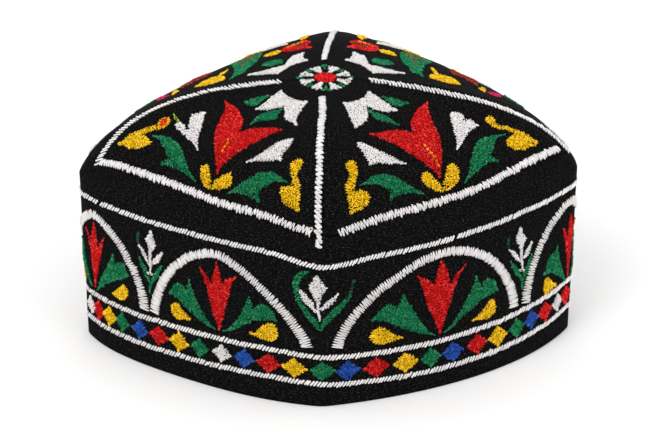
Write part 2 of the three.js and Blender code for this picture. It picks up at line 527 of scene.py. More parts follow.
def gridInside(chart, outline, spacing, margin):
    # loosely spread points in a shape, a margin away from its edge, with the direction away from it
    rowShare = 0.87  # rows lie closer together than the points in a row
    scatter = 0.3
    middle = outline.mean(axis=0, keepdims=True)
    scaleX, scaleY = np.linalg.norm(chartSlopes(chart, middle)[0], axis=0)
    low, high = outline.min(axis=0), outline.max(axis=0)
    columns = np.arange(low[0], high[0], spacing / scaleX)
    rows = np.arange(low[1], high[1], spacing * rowShare / scaleY)
    gridX, gridY = np.meshgrid(columns, rows)
    gridX = gridX + (np.arange(len(rows)) % 2)[:, None] * spacing / scaleX / 2
    grid = np.stack([gridX.ravel(), gridY.ravel()], axis=1)
    grid = grid + dice.uniform(-scatter, scatter, grid.shape) * spacing
    grid = grid[isInside(grid, outline)]
    if len(grid) == 0:
        return grid, grid
    distance, inward = nearestEdge(grid, outline)
    keep = distance * (scaleX + scaleY) / 2 > margin
    return grid[keep], inward[keep]


def fillShape(chart, shape, look):
    # zigzag threads all round a shape give it a ragged edge, and layers of short threads fill it
    outline, corners = shape
    holes, heading = edgeHoles(chart, outline, corners, look)
    count = len(holes)
    aheadMove, inwardMove = trueMoves(chart, holes, heading)
    isOuter = np.arange(count) % 2 == 0
    room = roomAhead(holes + inwardMove * 0.02, inwardMove, outline)  # from just inside the edge
    depth = look["length"] * dice.uniform(*look["lengths"], count)
    depth = np.minimum(depth, room * np.where(room < look["narrow"], look["narrowShare"], look["wideShare"]))
    tuck = np.minimum(look["tuck"] + dice.normal(0, look["ragged"], count), room * look["tuckShare"])
    inward = np.where(isOuter, tuck, np.maximum(depth, look["shortest"]))
    sway = dice.normal(0, look["ragged"] * look["sway"], count)
    place = holes + inwardMove * inward[:, None] + aheadMove * sway[:, None]
    outer, inner = place[0::2], place[1::2]
    batches = []
    for leg in (inner, np.roll(inner, 1, axis=0)):
        height = look["lift"] + look["height"] * dice.uniform(*look["heights"], len(outer))
        batches.append(layStitches(chart, outer, leg, look["thread"], height, edgeStitch))
    for layer in look["layers"]:
        grid, inward = gridInside(chart, outline, layer["spacing"], layer["margin"])
        if len(grid) == 0:
            continue
        swing = dice.normal(0, np.radians(layer["swing"]), len(grid))
        aheadMove, acrossMove = trueMoves(chart, grid, inward)
        half = layer["length"] * dice.uniform(*look["layerHalves"], len(grid))
        lean = aheadMove * (half * np.cos(swing))[:, None] + acrossMove * (half * np.sin(swing))[:, None]
        height = look["lift"] + layer["height"] * dice.uniform(*look["layerHeights"], len(grid))
        shade = dice.uniform(*layer["shades"], len(grid))
        ends = grid - lean, grid + lean
        batches.append(layStitches(chart, *ends, layer["thread"], height, shortStitch, shade))
    return batches


# Meshes
def newMesh(name, vertices, faces):
    mesh = bpy.data.meshes.new(name)
    faces = np.asarray(faces, np.int32)
    mesh.vertices.add(len(vertices))
    mesh.vertices.foreach_set("co", (np.asarray(vertices) * mm).astype(np.float32).ravel())
    mesh.loops.add(faces.size)
    mesh.loops.foreach_set("vertex_index", faces.ravel())
    mesh.polygons.add(len(faces))
    mesh.polygons.foreach_set("loop_start", np.arange(0, faces.size, faces.shape[1], dtype=np.int32))
    mesh.update(calc_edges=True)
    mesh.shade_smooth()
    return mesh


def setAttribute(mesh, name, values):
    attribute = mesh.attributes.new(name, "FLOAT", "POINT")
    attribute.data.foreach_set("value", np.asarray(values, np.float32))


def addPiece(name, mesh, material):
    piece = bpy.data.objects.new(name, mesh)
    bpy.context.scene.collection.objects.link(piece)
    mesh.materials.append(material)
    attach(piece, "root")
    return piece


def addEmbroidery(name, batches, thread):
    # all the stitches of one colour and place become one mesh
    offset = 0
    faces = []
    for batch in batches:
        faces.append(batch["faces"] + offset)
        offset += len(batch["vertices"])
    mesh = newMesh(name, np.concatenate([b["vertices"] for b in batches]), np.concatenate(faces))
    for attribute in ("threadShade", "threadLift", "threadRun", "threadSide"):
        setAttribute(mesh, attribute, np.concatenate([b[attribute] for b in batches]))
    addPiece(name, mesh, threads[thread]["material"])


# Materials
def newGroup(name, inputs, outputs):
    group = bpy.data.node_groups.new(name, "ShaderNodeTree")
    for label, kind, value in inputs:
        socket = group.interface.new_socket(name=label, in_out="INPUT", socket_type=kind)
        socket.default_value = value
    for label, kind in outputs:
        group.interface.new_socket(name=label, in_out="OUTPUT", socket_type=kind)
    return group, group.nodes.new("NodeGroupInput"), group.nodes.new("NodeGroupOutput")


def feed(tree, socket, value):
    if isinstance(value, bpy.types.NodeSocket):
        tree.links.new(value, socket)
    else:
        socket.default_value = value


def mathNode(tree, operation, *values):
    node = tree.nodes.new("ShaderNodeMath")
    node.operation = operation
    for socket, value in zip(node.inputs, values):
        feed(tree, socket, value)
    return node.outputs[0]


def mixColour(tree, factor, a, b):
    node = tree.nodes.new("ShaderNodeMix")
    node.data_type = "RGBA"
    for i, value in ((0, factor), (6, a), (7, b)):
        feed(tree, node.inputs[i], value)
    return node.outputs[2]


def attributeNode(tree, name):
    node = tree.nodes.new("ShaderNodeAttribute")
    node.attribute_name = name
    return node.outputs["Fac"]


def noiseNode(tree, place, scale, detail, roughness):
    node = tree.nodes.new("ShaderNodeTexNoise")
    node.inputs["Scale"].default_value = scale
    node.inputs["Detail"].default_value = detail
    node.inputs["Roughness"].default_value = roughness
    tree.links.new(place, node.inputs["Vector"])
    return node.outputs["Fac"]


threadFinish = {
    "specular": 0.06,
    "roughness": 0.72,
    "twistSmoothing": 0.12,  # how much smoother the raised turns of the twist are
    # painted shade towards a stitch's roots, where it goes down into the cloth
    "paintedRootShade": 0.82,
    "rootPower": 2.0,
    "whiteTones": 0.16,  # how far single stitches differ
    "colourTones": 0.42,
    "twistLength": 0.8,
    "twistLean": 0.45,
    # painted light and shade along the twist, lighter on its raised turns
    "twistPaintedShade": 0.1,
    # painted highlight: the palest-toned stitches are mixed towards pale grey
    "paintedGlint": 0.13,
    "glintFrom": 0.35,
    "glintColour": (0.85, 0.85, 0.85, 1),
    "bump": (0.5, 0.05),  # strength, millimetres
}
clothFinish = {
    "specular": 0.04,
    "roughness": 0.92,
    "colour": (0.0026, 0.0024, 0.0026, 1),
    "darkColour": (0.00143, 0.00132, 0.00143, 1),  # painted shade between the threads of the weave, and the cloth's own duller patches
    "lintColour": (0.085, 0.08, 0.088, 1),
    "lint": 0.75,
    "lintRange": (0.56, 0.72),
    "lintStretch": (0.7, 1.7),
    "threadSpacing": 0.42,
    "bump": (0.6, 0.08),
}


def makeThreadGroup():
    # embroidery thread: each stitch has its own tone, painted shade towards its roots, a painted highlight
    # on the palest-toned stitches, and a fine twist with painted light and shade along it
    group, source, result = newGroup(
        "embroideryThread",
        [
            ("Thread Colour", "NodeSocketColor", (1, 1, 1, 1)),
            ("Tone Range", "NodeSocketFloat", threadFinish["colourTones"]),
            ("Painted Root Shade", "NodeSocketFloat", threadFinish["paintedRootShade"]),
            ("Twist Length", "NodeSocketFloat", threadFinish["twistLength"]),
            ("Painted Glint", "NodeSocketFloat", threadFinish["paintedGlint"]),
        ],
        [("Colour", "NodeSocketColor"), ("Roughness", "NodeSocketFloat"), ("Height", "NodeSocketFloat")],
    )
    shade = attributeNode(group, "threadShade")
    lift = attributeNode(group, "threadLift")
    run = attributeNode(group, "threadRun")
    side = attributeNode(group, "threadSide")
    tone = mathNode(group, "MULTIPLY", shade, source.outputs["Tone Range"])
    tone = mathNode(group, "ADD", tone, 1.0)
    # painted shade: the colour darkens towards a stitch's roots and feet, where threadLift is low
    root = mathNode(group, "POWER", mathNode(group, "SUBTRACT", 1.0, lift), threadFinish["rootPower"])
    root = mathNode(group, "MULTIPLY", root, source.outputs["Painted Root Shade"])
    tone = mathNode(group, "MULTIPLY", tone, mathNode(group, "SUBTRACT", 1.0, root))
    turns = mathNode(group, "DIVIDE", run, source.outputs["Twist Length"])
    turns = mathNode(group, "ADD", turns, mathNode(group, "MULTIPLY", side, threadFinish["twistLean"]))
    twist = mathNode(group, "SINE", mathNode(group, "MULTIPLY", turns, 2 * math.pi))
    twist = mathNode(group, "ADD", mathNode(group, "MULTIPLY", twist, 0.5), 0.5)
    # painted light and shade: the twist's raised turns are lighter and its grooves darker
    depth = threadFinish["twistPaintedShade"]
    fold = mathNode(group, "ADD", mathNode(group, "MULTIPLY", twist, depth), 1 - depth / 2)
    tone = mathNode(group, "MULTIPLY", tone, fold)
    toned = group.nodes.new("ShaderNodeVectorMath")
    toned.operation = "SCALE"
    group.links.new(source.outputs["Thread Colour"], toned.inputs[0])
    group.links.new(tone, toned.inputs["Scale"])
    # painted highlight: stitches toned above glintFrom are mixed towards pale grey in the base colour
    pale = mathNode(group, "SUBTRACT", shade, threadFinish["glintFrom"])
    pale = mathNode(group, "MULTIPLY", mathNode(group, "MAXIMUM", pale, 0.0), source.outputs["Painted Glint"])
    glinting = mixColour(group, pale, toned.outputs[0], threadFinish["glintColour"])
    group.links.new(glinting, result.inputs["Colour"])
    smoothing = mathNode(group, "MULTIPLY", twist, threadFinish["twistSmoothing"])
    rough = mathNode(group, "SUBTRACT", threadFinish["roughness"], smoothing)
    group.links.new(rough, result.inputs["Roughness"])
    group.links.new(twist, result.inputs["Height"])
    return group


def makeWeaveGroup():
    # fine cotton cloth: over-and-under weave, slubs and pale lint
    group, source, result = newGroup(
        "cottonWeave",
        [
            ("Thread Spacing", "NodeSocketFloat", clothFinish["threadSpacing"]),
            ("Lint", "NodeSocketFloat", clothFinish["lint"]),
        ],
        [("Weave", "NodeSocketFloat"), ("Lint Mask", "NodeSocketFloat"), ("Mottle", "NodeSocketFloat")],
    )
    across = attributeNode(group, "clothAcross")
    upward = attributeNode(group, "clothUpward")
    scale = mathNode(group, "DIVIDE", math.pi, source.outputs["Thread Spacing"])
    warp = mathNode(group, "SINE", mathNode(group, "MULTIPLY", across, scale))
    weft = mathNode(group, "SINE", mathNode(group, "MULTIPLY", upward, scale))
    weave = mathNode(group, "MULTIPLY", warp, weft)
    weave = mathNode(group, "ADD", mathNode(group, "MULTIPLY", weave, 0.5), 0.5)
    group.links.new(weave, result.inputs["Weave"])
    place = group.nodes.new("ShaderNodeCombineXYZ")
    for i, run in enumerate((across, upward)):
        group.links.new(mathNode(group, "MULTIPLY", run, clothFinish["lintStretch"][i]), place.inputs[i])
    ramp = group.nodes.new("ShaderNodeMapRange")
    ramp.inputs["From Min"].default_value, ramp.inputs["From Max"].default_value = clothFinish["lintRange"]
    lint = noiseNode(group, place.outputs[0], scale=1.1, detail=3, roughness=0.7)
    group.links.new(lint, ramp.inputs["Value"])
    mask = mathNode(group, "MULTIPLY", ramp.outputs["Result"], source.outputs["Lint"])
    group.links.new(mask, result.inputs["Lint Mask"])
    mottle = noiseNode(group, place.outputs[0], scale=0.06, detail=4, roughness=0.5)
    group.links.new(mottle, result.inputs["Mottle"])
    return group


def newMaterial(name, roughness, specular):
    material = bpy.data.materials.new(name)
    material.use_nodes = True
    shader = material.node_tree.nodes["Principled BSDF"]
    shader.inputs["Roughness"].default_value = roughness
    shader.inputs["Specular IOR Level"].default_value = specular
    return material, material.node_tree, shader


def addBump(tree, shader, height, strength, distance):
    bump = tree.nodes.new("ShaderNodeBump")
    bump.inputs["Strength"].default_value = strength
    bump.inputs["Distance"].default_value = distance * mm  # given in millimetres
    tree.links.new(height, bump.inputs["Height"])
    tree.links.new(bump.outputs["Normal"], shader.inputs["Normal"])


def placeGroup(tree, group, values):
    node = tree.nodes.new("ShaderNodeGroup")
    node.node_tree = group
    for label, value in values.items():
        node.inputs[label].default_value = value
    return node


threadGroup = makeThreadGroup()
weaveGroup = makeWeaveGroup()


def threadMaterial(name, colour, toneRange):
    material, tree, shader = newMaterial(name, threadFinish["roughness"], threadFinish["specular"])
    group = placeGroup(tree, threadGroup, {"Thread Colour": (*colour, 1), "Tone Range": toneRange})
    tree.links.new(group.outputs["Colour"], shader.inputs["Base Color"])
    tree.links.new(group.outputs["Roughness"], shader.inputs["Roughness"])
    addBump(tree, shader, group.outputs["Height"], *threadFinish["bump"])
    return material


def clothMaterial(name):
    material, tree, shader = newMaterial(name, clothFinish["roughness"], clothFinish["specular"])
    group = placeGroup(tree, weaveGroup, {"Lint": clothFinish["lint"]})
    # painted shade: the cloth is darker in the dips between the threads of the weave
    woven = mixColour(tree, group.outputs["Weave"], clothFinish["darkColour"], clothFinish["colour"])
    mottled = mixColour(tree, group.outputs["Mottle"], woven, clothFinish["darkColour"])
    linty = mixColour(tree, group.outputs["Lint Mask"], mottled, clothFinish["lintColour"])
    tree.links.new(linty, shader.inputs["Base Color"])
    addBump(tree, shader, group.outputs["Weave"], *clothFinish["bump"])
    return material


bandClothMaterial = clothMaterial("black_band_cotton")
goreClothMaterial = clothMaterial("black_gore_cotton")

threadColours = {
    "white": ((0.88, 0.85, 0.84), "white_thread"),
    "red": ((0.72, 0.011, 0.01), "red_thread"),
    "green": ((0.009, 0.225, 0.085), "green_thread"),
    "yellow": ((0.97, 0.6, 0.01), "yellow_thread"),
    "blue": ((0.022, 0.1, 0.46), "blue_thread"),
    "orange": ((0.95, 0.3, 0.01), "yellow_thread"),
    "lime": ((0.55, 0.75, 0.08), "green_thread"),
    "pine": ((0.004, 0.06, 0.028), "green_thread"),
    "rust": ((0.3, 0.028, 0.012), "red_thread"),
    "rose": ((0.58, 0.02, 0.1), "red_thread"),
}
threads = {}
for colourName, (colour, slot) in threadColours.items():
    toneRange = threadFinish["whiteTones" if colourName == "white" else "colourTones"]
    threads[colourName] = {
        "material": threadMaterial(colourName + "_embroidery_thread", colour, toneRange),
        "slot": slot,
    }
print("skullcap: materials ready,", len(threads), "thread colours")


# Cloth. Each piece is a closed shell with its outer face, its lining face and its edges.
clothMesh = {
    "quarterColumns": 80,
    "cornerCrowding": 0.5,
    "bandRows": 40,
    "goreRows": 56,
    "seamGap": 0.12,
    "seamDip": 0.7,  # how far a sewn edge sinks
    "seamSoftness": 1.1,
    "hemRounding": 0.8,
    "hemRows": [0, 0.25, 0.6, 1],  # the band's lowest rows, in percent of its height
    "climbLength": 88.0,  # rough millimetres in one climb
    "quarterLength": 145.0,  # along the fold
    "goreWidth": 150.0,
    "goreCrowding": 0.012,
    "topHole": 0.004,  # share of the way out where the gores' points end
    "ridgeStrip": 0.12,  # turns from a gore's middle to the few columns beside a ridge
    "leastReach": 0.02,  # the rows nearest the top count as this far out
    "topEase": 12,  # how soon below the top the seams are at their full depth
    "topDip": 0.2,  # share of that depth at the top itself
}


def quarterShares():
    share = np.linspace(0, 1, clothMesh["quarterColumns"] + 1)
    return share - clothMesh["cornerCrowding"] * np.sin(2 * math.pi * share) / (2 * math.pi)


def shellMesh(name, turns, climbs, dips, wrap):
    # turns and climbs are grids of columns by rows, dips is how far the outer face sinks, and wrap
    # joins the last column to the first
    point, normal = capFrame(turns, climbs)
    outer = point - normal * dips[..., None]
    lining = point - normal * cap["thickness"]
    for face in (outer, lining):
        face[..., 2] = np.maximum(face[..., 2], 0)
    vertices = np.concatenate([outer.reshape(-1, 3), lining.reshape(-1, 3)])
    under = turns.size
    index = np.arange(under).reshape(turns.shape)
    here = index if wrap else index[:-1]
    beyond = np.roll(index, -1, axis=0) if wrap else index[1:]
    a, b = here[:, :-1], beyond[:, :-1]
    c, d = beyond[:, 1:], here[:, 1:]
    faces = [
        np.stack([a, b, c, d], axis=-1).reshape(-1, 4),
        np.stack([d, c, b, a], axis=-1).reshape(-1, 4) + under,
    ]
    edges = [(beyond[:, 0], here[:, 0]), (here[:, -1], beyond[:, -1])]
    if not wrap:
        edges += [(index[0, :-1], index[0, 1:]), (index[-1, 1:], index[-1, :-1])]
    for p, q in edges:
        faces.append(np.stack([p, q, q + under, p + under], axis=-1))
    mesh = newMesh(name, vertices, np.concatenate(faces))
    setAttribute(mesh, "clothAcross", np.tile((turns * 4 * clothMesh["quarterLength"]).ravel(), 2))
    setAttribute(mesh, "clothUpward", np.tile((climbs * clothMesh["climbLength"]).ravel(), 2))
    return mesh


def addBandCloth():
    shares = quarterShares()[:-1]
    turns = np.concatenate([(quarter + shares) / 4 for quarter in range(4)])
    edge = seamClimb(turns)[:, None]
    hem = clothMesh["hemRows"]
    wall = np.linspace(hem[-1], 100, clothMesh["bandRows"] + 1)[1:]
    rise = np.concatenate([hem, wall]) / 100
    climbs = edge * rise - (rise == 1) * clothMesh["seamGap"] / 2 / clothMesh["climbLength"]
    turnGrid = np.broadcast_to(turns[:, None], climbs.shape)
    fromSeam = (edge - climbs) * clothMesh["climbLength"]
    dips = clothMesh["seamDip"] * np.exp(-fromSeam / clothMesh["seamSoftness"])
    height = climbs * cap["foldHeight"]
    rounding = clothMesh["hemRounding"]
    inHem = np.clip(1 - height / rounding, 0, 1)
    dips = dips + rounding * (1 - np.sqrt(1 - inHem**2))
    mesh = shellMesh("band_cloth", turnGrid, climbs, dips, True)
    piece = addPiece("band_cloth", mesh, bandClothMaterial)
    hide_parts("band")


def addGoreCloth(name, quarter):
    shares = quarterShares()
    plain = (quarter + shares) / 4
    base = (seamClimb(plain) + clothMesh["seamGap"] / 2 / clothMesh["climbLength"])[:, None]
    rowShare = np.linspace(0, 1, clothMesh["goreRows"] + 1)
    rowShare = rowShare + clothMesh["goreCrowding"] * np.sin(math.pi * rowShare)
    climbs = blendTo(base, 1 + math.sqrt(1 - clothMesh["topHole"]), rowShare)
    reach = 1 - (climbs - 1) ** 2
    width = np.maximum(reach, clothMesh["leastReach"]) * clothMesh["goreWidth"]
    fromMiddle = plain - (quarter + 0.5) / 4
    inward = np.where(np.abs(fromMiddle) > clothMesh["ridgeStrip"], -np.sign(fromMiddle), 0)
    inset = np.minimum(clothMesh["seamGap"] / 2 / width, 0.2)
    turns = plain[:, None] + inward[:, None] * inset / 4
    fromRidge = np.minimum(shares, 1 - shares)[:, None] * width
    fromSeam = (climbs - base) * clothMesh["climbLength"]
    dips = clothMesh["seamDip"] * np.exp(-np.minimum(fromRidge, fromSeam) / clothMesh["seamSoftness"])
    dips = dips * np.clip(reach * clothMesh["topEase"], clothMesh["topDip"], 1)
    mesh = shellMesh(name, turns, climbs, dips, False)
    piece = addPiece(name + "_cloth", mesh, goreClothMaterial)
    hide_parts(name)


addBandCloth()
for quarter, gore in enumerate(goreHomes):
    addGoreCloth("gore_" + gore, quarter)
print("skullcap: cloth laid")

# Looks of the needlework, in millimetres and degrees
fillLook = {
    "thread": 0.46,
    "length": 2.0,
    "tooth": 1.36,
    "tuck": 0.0,  # how far the outer holes lie inside the outline
    "ragged": 0.24,
    "turning": 0.9,  # how early a thread's direction turns before a corner
    "height": 0.6,
    "lift": 0.0,
    "lengths": (0.8, 1.25),  # shares, from the shortest to the longest thread
    "heights": (0.75, 1.25),
    "shortest": 0.5,
    "narrow": 2.4,  # edge threads take a larger share of the width where a shape is narrow
    "narrowShare": 0.9,
    "wideShare": 0.6,
    "tuckShare": 0.2,
    "sway": 0.8,  # raggedness along the edge, as a share of that across it
    "layerHalves": (0.4, 0.6),
    "layerHeights": (0.7, 1.3),
    "layers": [
        # wide flat threads hide the cloth, and loose ones lie over them; the flat ones are toned darker,
        # painted shade in the gaps between the loose ones
        {
            "thread": 0.95,
            "length": 0.9,
            "spacing": 0.8,
            "swing": 30,
            "height": 0.32,
            "margin": 1.15,  # between a thread's middle and the shape's edge
            # darker tones: painted shade under the loose threads on top
            "shades": (-0.9, -0.3),
        },
        {
            "thread": 0.56,
            "length": 1.2,
            "spacing": 0.82,
            "swing": 45,
            "height": 0.62,
            "margin": 1.85,
            "shades": (-1, 1),
        },
    ],
}
overLook = {**fillLook, "lift": 0.35}  # over a shape that is stitched already
sprigLook = {**fillLook, "thread": 0.5, "tooth": 1.2, "tuck": -0.1}
strandLook = {
    "thread": 0.5,
    "length": 2.2,
    "halves": (0.45, 0.65),  # shares of the length on each side of a stitch's middle
    "strands": 2,
    "stray": 0.12,
    "height": 1.0,
}
ridgeLook = {
    "thread": 0.56,
    "legs": 2,
    "strands": 3,
    "spread": 0.1,  # between a leg's strands at its holes
    "bow": 0.38,  # how much further apart they are in the middle
    "stray": 0.05,
    "trim": 0.06,
    "widths": [(0, 3.9), (0.85, 3.9), (1, 3.2)],  # share of the path, millimetres
    "tooth": 2.15,
    "ragged": 0.2,
    "slide": 0.7,  # raggedness along the line, as a share of that across it
    "slant": [(0, 0.0), (0.4, -0.3), (0.7, -1.8), (1, -2.8)],
    "height": 0.85,
    "heights": (0.75, 1.2),
    "legTone": 0.6,
    "strandTone": 0.4,
}
backRidgeLook = {
    **ridgeLook,
    "thread": 0.5,
    "widths": [(0, 3.1), (1, 3.1)],
    "strands": 2,
    "tooth": 1.3,
    "slant": [(0, 0.0), (1, 0.0)],
    "height": 0.5,
}
sideRidgeLook = {
    **ridgeLook,
    "thread": 1.12,
    "widths": [(0, 3.9), (1, 3.9)],
    "tooth": 1.5,
    "legs": 1,
    "strands": 1,
    "slant": [(0, 2.6), (1, 2.8)],
    "height": 0.75,
}
baseLook = {
    **ridgeLook,
    "thread": 0.54,
    "widths": [(0, 4.0), (1, 4.0)],
    "tooth": 1.36,
    "strands": 2,
    "bow": 0.24,
    "ragged": 0.26,
    "slant": [(0, 0.3), (1, 0.3)],
}
archLook = {
    **baseLook,
    "thread": 0.5,
    "widths": [(0, 6.3), (0.12, 5.6), (0.3, 4.8), (0.7, 4.8), (0.88, 5.6), (1, 6.3)],
    "tooth": 1.12,
    "bow": 0.15,
    "ragged": 0.2,
    "height": 0.75,
}
ropeLook = {
    **sideRidgeLook,
    "thread": 1.2,
    "widths": [(0, 2.9), (1, 2.9)],
    "tooth": 1.42,
    "ragged": 0.17,
    "slant": [(0, 2.1), (1, 2.1)],
    "height": 0.72,
}


def bandOutline(points, place=(0, 0)):
    # the band's outlines are drawn in pitches across and millimetres up, and place moves them
    shift, lift = place
    return outlineOf([((x + shift) * patternPitch, y + lift, *mark) for x, y, *mark in points])


# The crown
frontRightMotif = {
    "white": [
        [
            (-11.2, 27.4, tip), (-6.3, 28.6), (-1.2, 27.1), (4.7, 24.2, tip), (4.3, 30.9), (3.2, 39.3),
            (3, 44.9, tip), (-1.9, 44.1), (-4.6, 40.4), (-6.1, 36.6, tip), (-10.8, 44), (-15.9, 47.9),
            (-21.3, 49.6, tip), (-18.2, 41.8), (-14.8, 35),
        ],
        [
            (-27.7, 59), (-25.2, 58.9), (-22.1, 65.7), (-17.5, 77, tip), (-23.6, 75.6), (-29, 73.3),
            (-32, 73.4), (-31.1, 70), (-30.2, 66.7), (-28.7, 61.2),
        ],
        [
            (19.2, 57.7, tip), (22.3, 56.4), (25.4, 59.4), (24.2, 63.2, tip), (26.5, 64.6),
            (26.6, 69.6, tip), (21.6, 70.4), (15.9, 72.9), (11.4, 75.7), (7.1, 77.2, tip), (9.6, 73.4),
            (12.8, 68.1), (16.2, 62.2),
        ],
    ],
    "red": [
        [
            (18.5, 46, tip), (13.2, 46.6), (6.6, 49.9), (0.8, 54.7), (-2.4, 60.2, tip), (-6.3, 56.9),
            (-11.9, 55.4), (-19.1, 54.9, tip), (-16.5, 61.7), (-14, 68.8), (-11.1, 78.5), (-8.7, 86.7, tip),
            (-2.8, 80.6), (3.2, 73), (7.1, 66), (10.1, 58.9), (13.7, 52.5),
        ],
    ],
    "green": [
        [
            (-7.3, 38.7, tip), (-4.7, 42.4), (-3.5, 47.9), (-4.2, 55, tip), (-6.5, 51.9), (-9.5, 47.9),
            (-8.9, 42.2),
        ],
        [(5.3, 30.7, tip), (8.6, 34.7), (11.2, 42.2, tip), (5, 42.5), (3.6, 37.8)],
        [
            (-41.6, 80.9, tip), (-36.3, 78.5), (-31, 77.8), (-27, 79.6), (-23.4, 84.6), (-19, 90.3, tip),
            (-27, 88.8), (-34.2, 89.3, tip), (-32.4, 86, tip), (-35.4, 83), (-38.5, 81.6),
        ],
        [
            (34, 77.7, tip), (28, 78.8), (23.7, 81.9), (20.1, 84.1, tip), (21.6, 87.2, tip), (15, 87.1),
            (5.3, 89.3), (0.2, 90.4, tip), (5.6, 86.2), (10.9, 81.3), (18.6, 76.2), (24, 75.3), (30, 76.4),
        ],
    ],
    "yellow": [
        [
            (-16.6, 84.1), (-13.1, 82), (-11.2, 82.9), (-10.4, 86.2), (-9.2, 88.4, tip), (-5.4, 85.2),
            (-2.2, 82.1), (0.7, 81.9), (2.4, 84.1), (0.6, 87.6), (-3, 90), (-8.9, 91.3), (-14, 90.4),
            (-17, 87.6),
        ],
        [
            (-40.7, 70.2), (-37.7, 67.9), (-35.2, 68.6), (-36.5, 73.3), (-40.8, 78.1), (-43.9, 81.9, tip),
            (-41.3, 82.2), (-40.2, 85.6), (-43, 88.6), (-47.3, 89.7), (-52.1, 89.4, tip), (-50.1, 84.6),
            (-47, 79.4), (-42.5, 75.1),
        ],
        [
            (32.1, 66.6), (35.4, 66.2), (36.5, 68.5), (35.1, 72.4), (38.6, 74), (42.4, 77.8), (45.7, 81.5),
            (47, 85.3, tip), (40.6, 86.4), (34.1, 86.1), (30.5, 83.9), (30.6, 80.8), (34.4, 79),
            (37.5, 78.4, tip), (35.5, 76.2), (32.1, 73.8), (30.6, 71), (30.4, 68.6),
        ],
    ],
}

frontLeftMotif = {
    "white": [
        [
            (-11.7, 25.7, tip), (-5.3, 26.4), (0.4, 24.6), (4.9, 22.1, tip), (4.7, 28.6), (3.6, 35),
            (2.7, 42.9, tip), (-2.4, 40.7), (-6.4, 35.4, tip), (-9.6, 39.3), (-13.1, 43.9),
            (-21.4, 46.4, tip), (-16.7, 38.6), (-13.9, 31.4),
        ],
        [
            (-26.4, 55.4), (-22.4, 57.9), (-20.3, 65.7), (-18, 75.4, tip), (-26, 72.1), (-31.7, 70, tip),
            (-29.6, 65), (-28.5, 58.6),
        ],
        [
            (20.6, 54.1, tip), (17.1, 59), (14.2, 63.6), (11.1, 69.4), (6.6, 76.1, tip), (11, 74.2),
            (17.2, 71.9), (23.7, 69.4), (27.4, 67.4, tip), (27, 64.2), (23.4, 64.9), (20.6, 66.6, tip),
            (22.8, 63.4), (25, 60.4), (24.6, 57), (22.8, 54.8),
        ],
    ],
    "red": [
        [
            (-18.5, 51.4, tip), (-13.1, 51.1), (-7.4, 53.6), (-2.8, 58.2, tip), (1.1, 52.1), (6.1, 47.9),
            (11.9, 44.6), (19, 43.6, tip), (14, 50.7), (10.4, 57.9), (6.9, 65), (2.6, 70.7), (-3.1, 77.1),
            (-9.9, 84.3, tip), (-10.3, 77.1), (-13.1, 66.4), (-16, 57.9),
        ],
    ],
    "green": [
        [
            (-6.7, 36.4, tip), (-3.1, 40.7), (-1.4, 45.7), (-3.3, 53.9, tip), (-6, 49.3), (-10.6, 46.1),
            (-8.9, 41.4),
        ],
        [(5.4, 29.3, tip), (9, 32.1), (11.9, 39.6, tip), (8.3, 41.8), (4.4, 40.7), (4.4, 35)],
        [
            (-41.2, 79.2, tip), (-35.3, 76.8), (-31, 76), (-26.7, 78), (-23.1, 82.8), (-19.2, 89.4, tip),
            (-26, 88.8), (-35.4, 89.6, tip), (-32.8, 85.6, tip), (-36, 81.4),
        ],
        [
            (32.9, 76.1, tip), (26.9, 73.9), (19.7, 74.6), (12.6, 77.9), (5.4, 83.6), (-2.4, 88.6, tip),
            (9, 86.8), (19, 86.4, tip), (17.6, 83.2, tip), (25.4, 78.6),
        ],
    ],
    "yellow": [
        [
            (-15.3, 81.1), (-19.4, 85.7), (-16.7, 88.9), (-9.6, 89.9), (-4.6, 88.2), (-0.1, 82.9),
            (-2.4, 80.1), (-6.4, 83.5), (-9.9, 87.1, tip), (-12.2, 83.2),
        ],
        [
            (-37.4, 66.2), (-35.3, 68.3), (-36.4, 72.2), (-40.3, 76.4), (-42.8, 79.6, tip), (-39.6, 81.4),
            (-41.4, 84.8), (-45.3, 87.7), (-52.8, 88.4, tip), (-49.9, 82.7), (-46, 77.8), (-42.4, 74),
            (-40.6, 68),
        ],
        [
            (32.9, 64.4), (35.9, 65.6), (36.5, 67.6), (35.8, 70.8, tip), (40.8, 74), (45.2, 78.5),
            (47.2, 83.8, tip), (39, 84.8), (33.3, 83.4), (29.4, 79.9), (32.6, 77.8), (36.5, 76.7, tip),
            (33.3, 73.2), (29.9, 71), (29.6, 68.6), (30.4, 66.2),
        ],
    ],
}

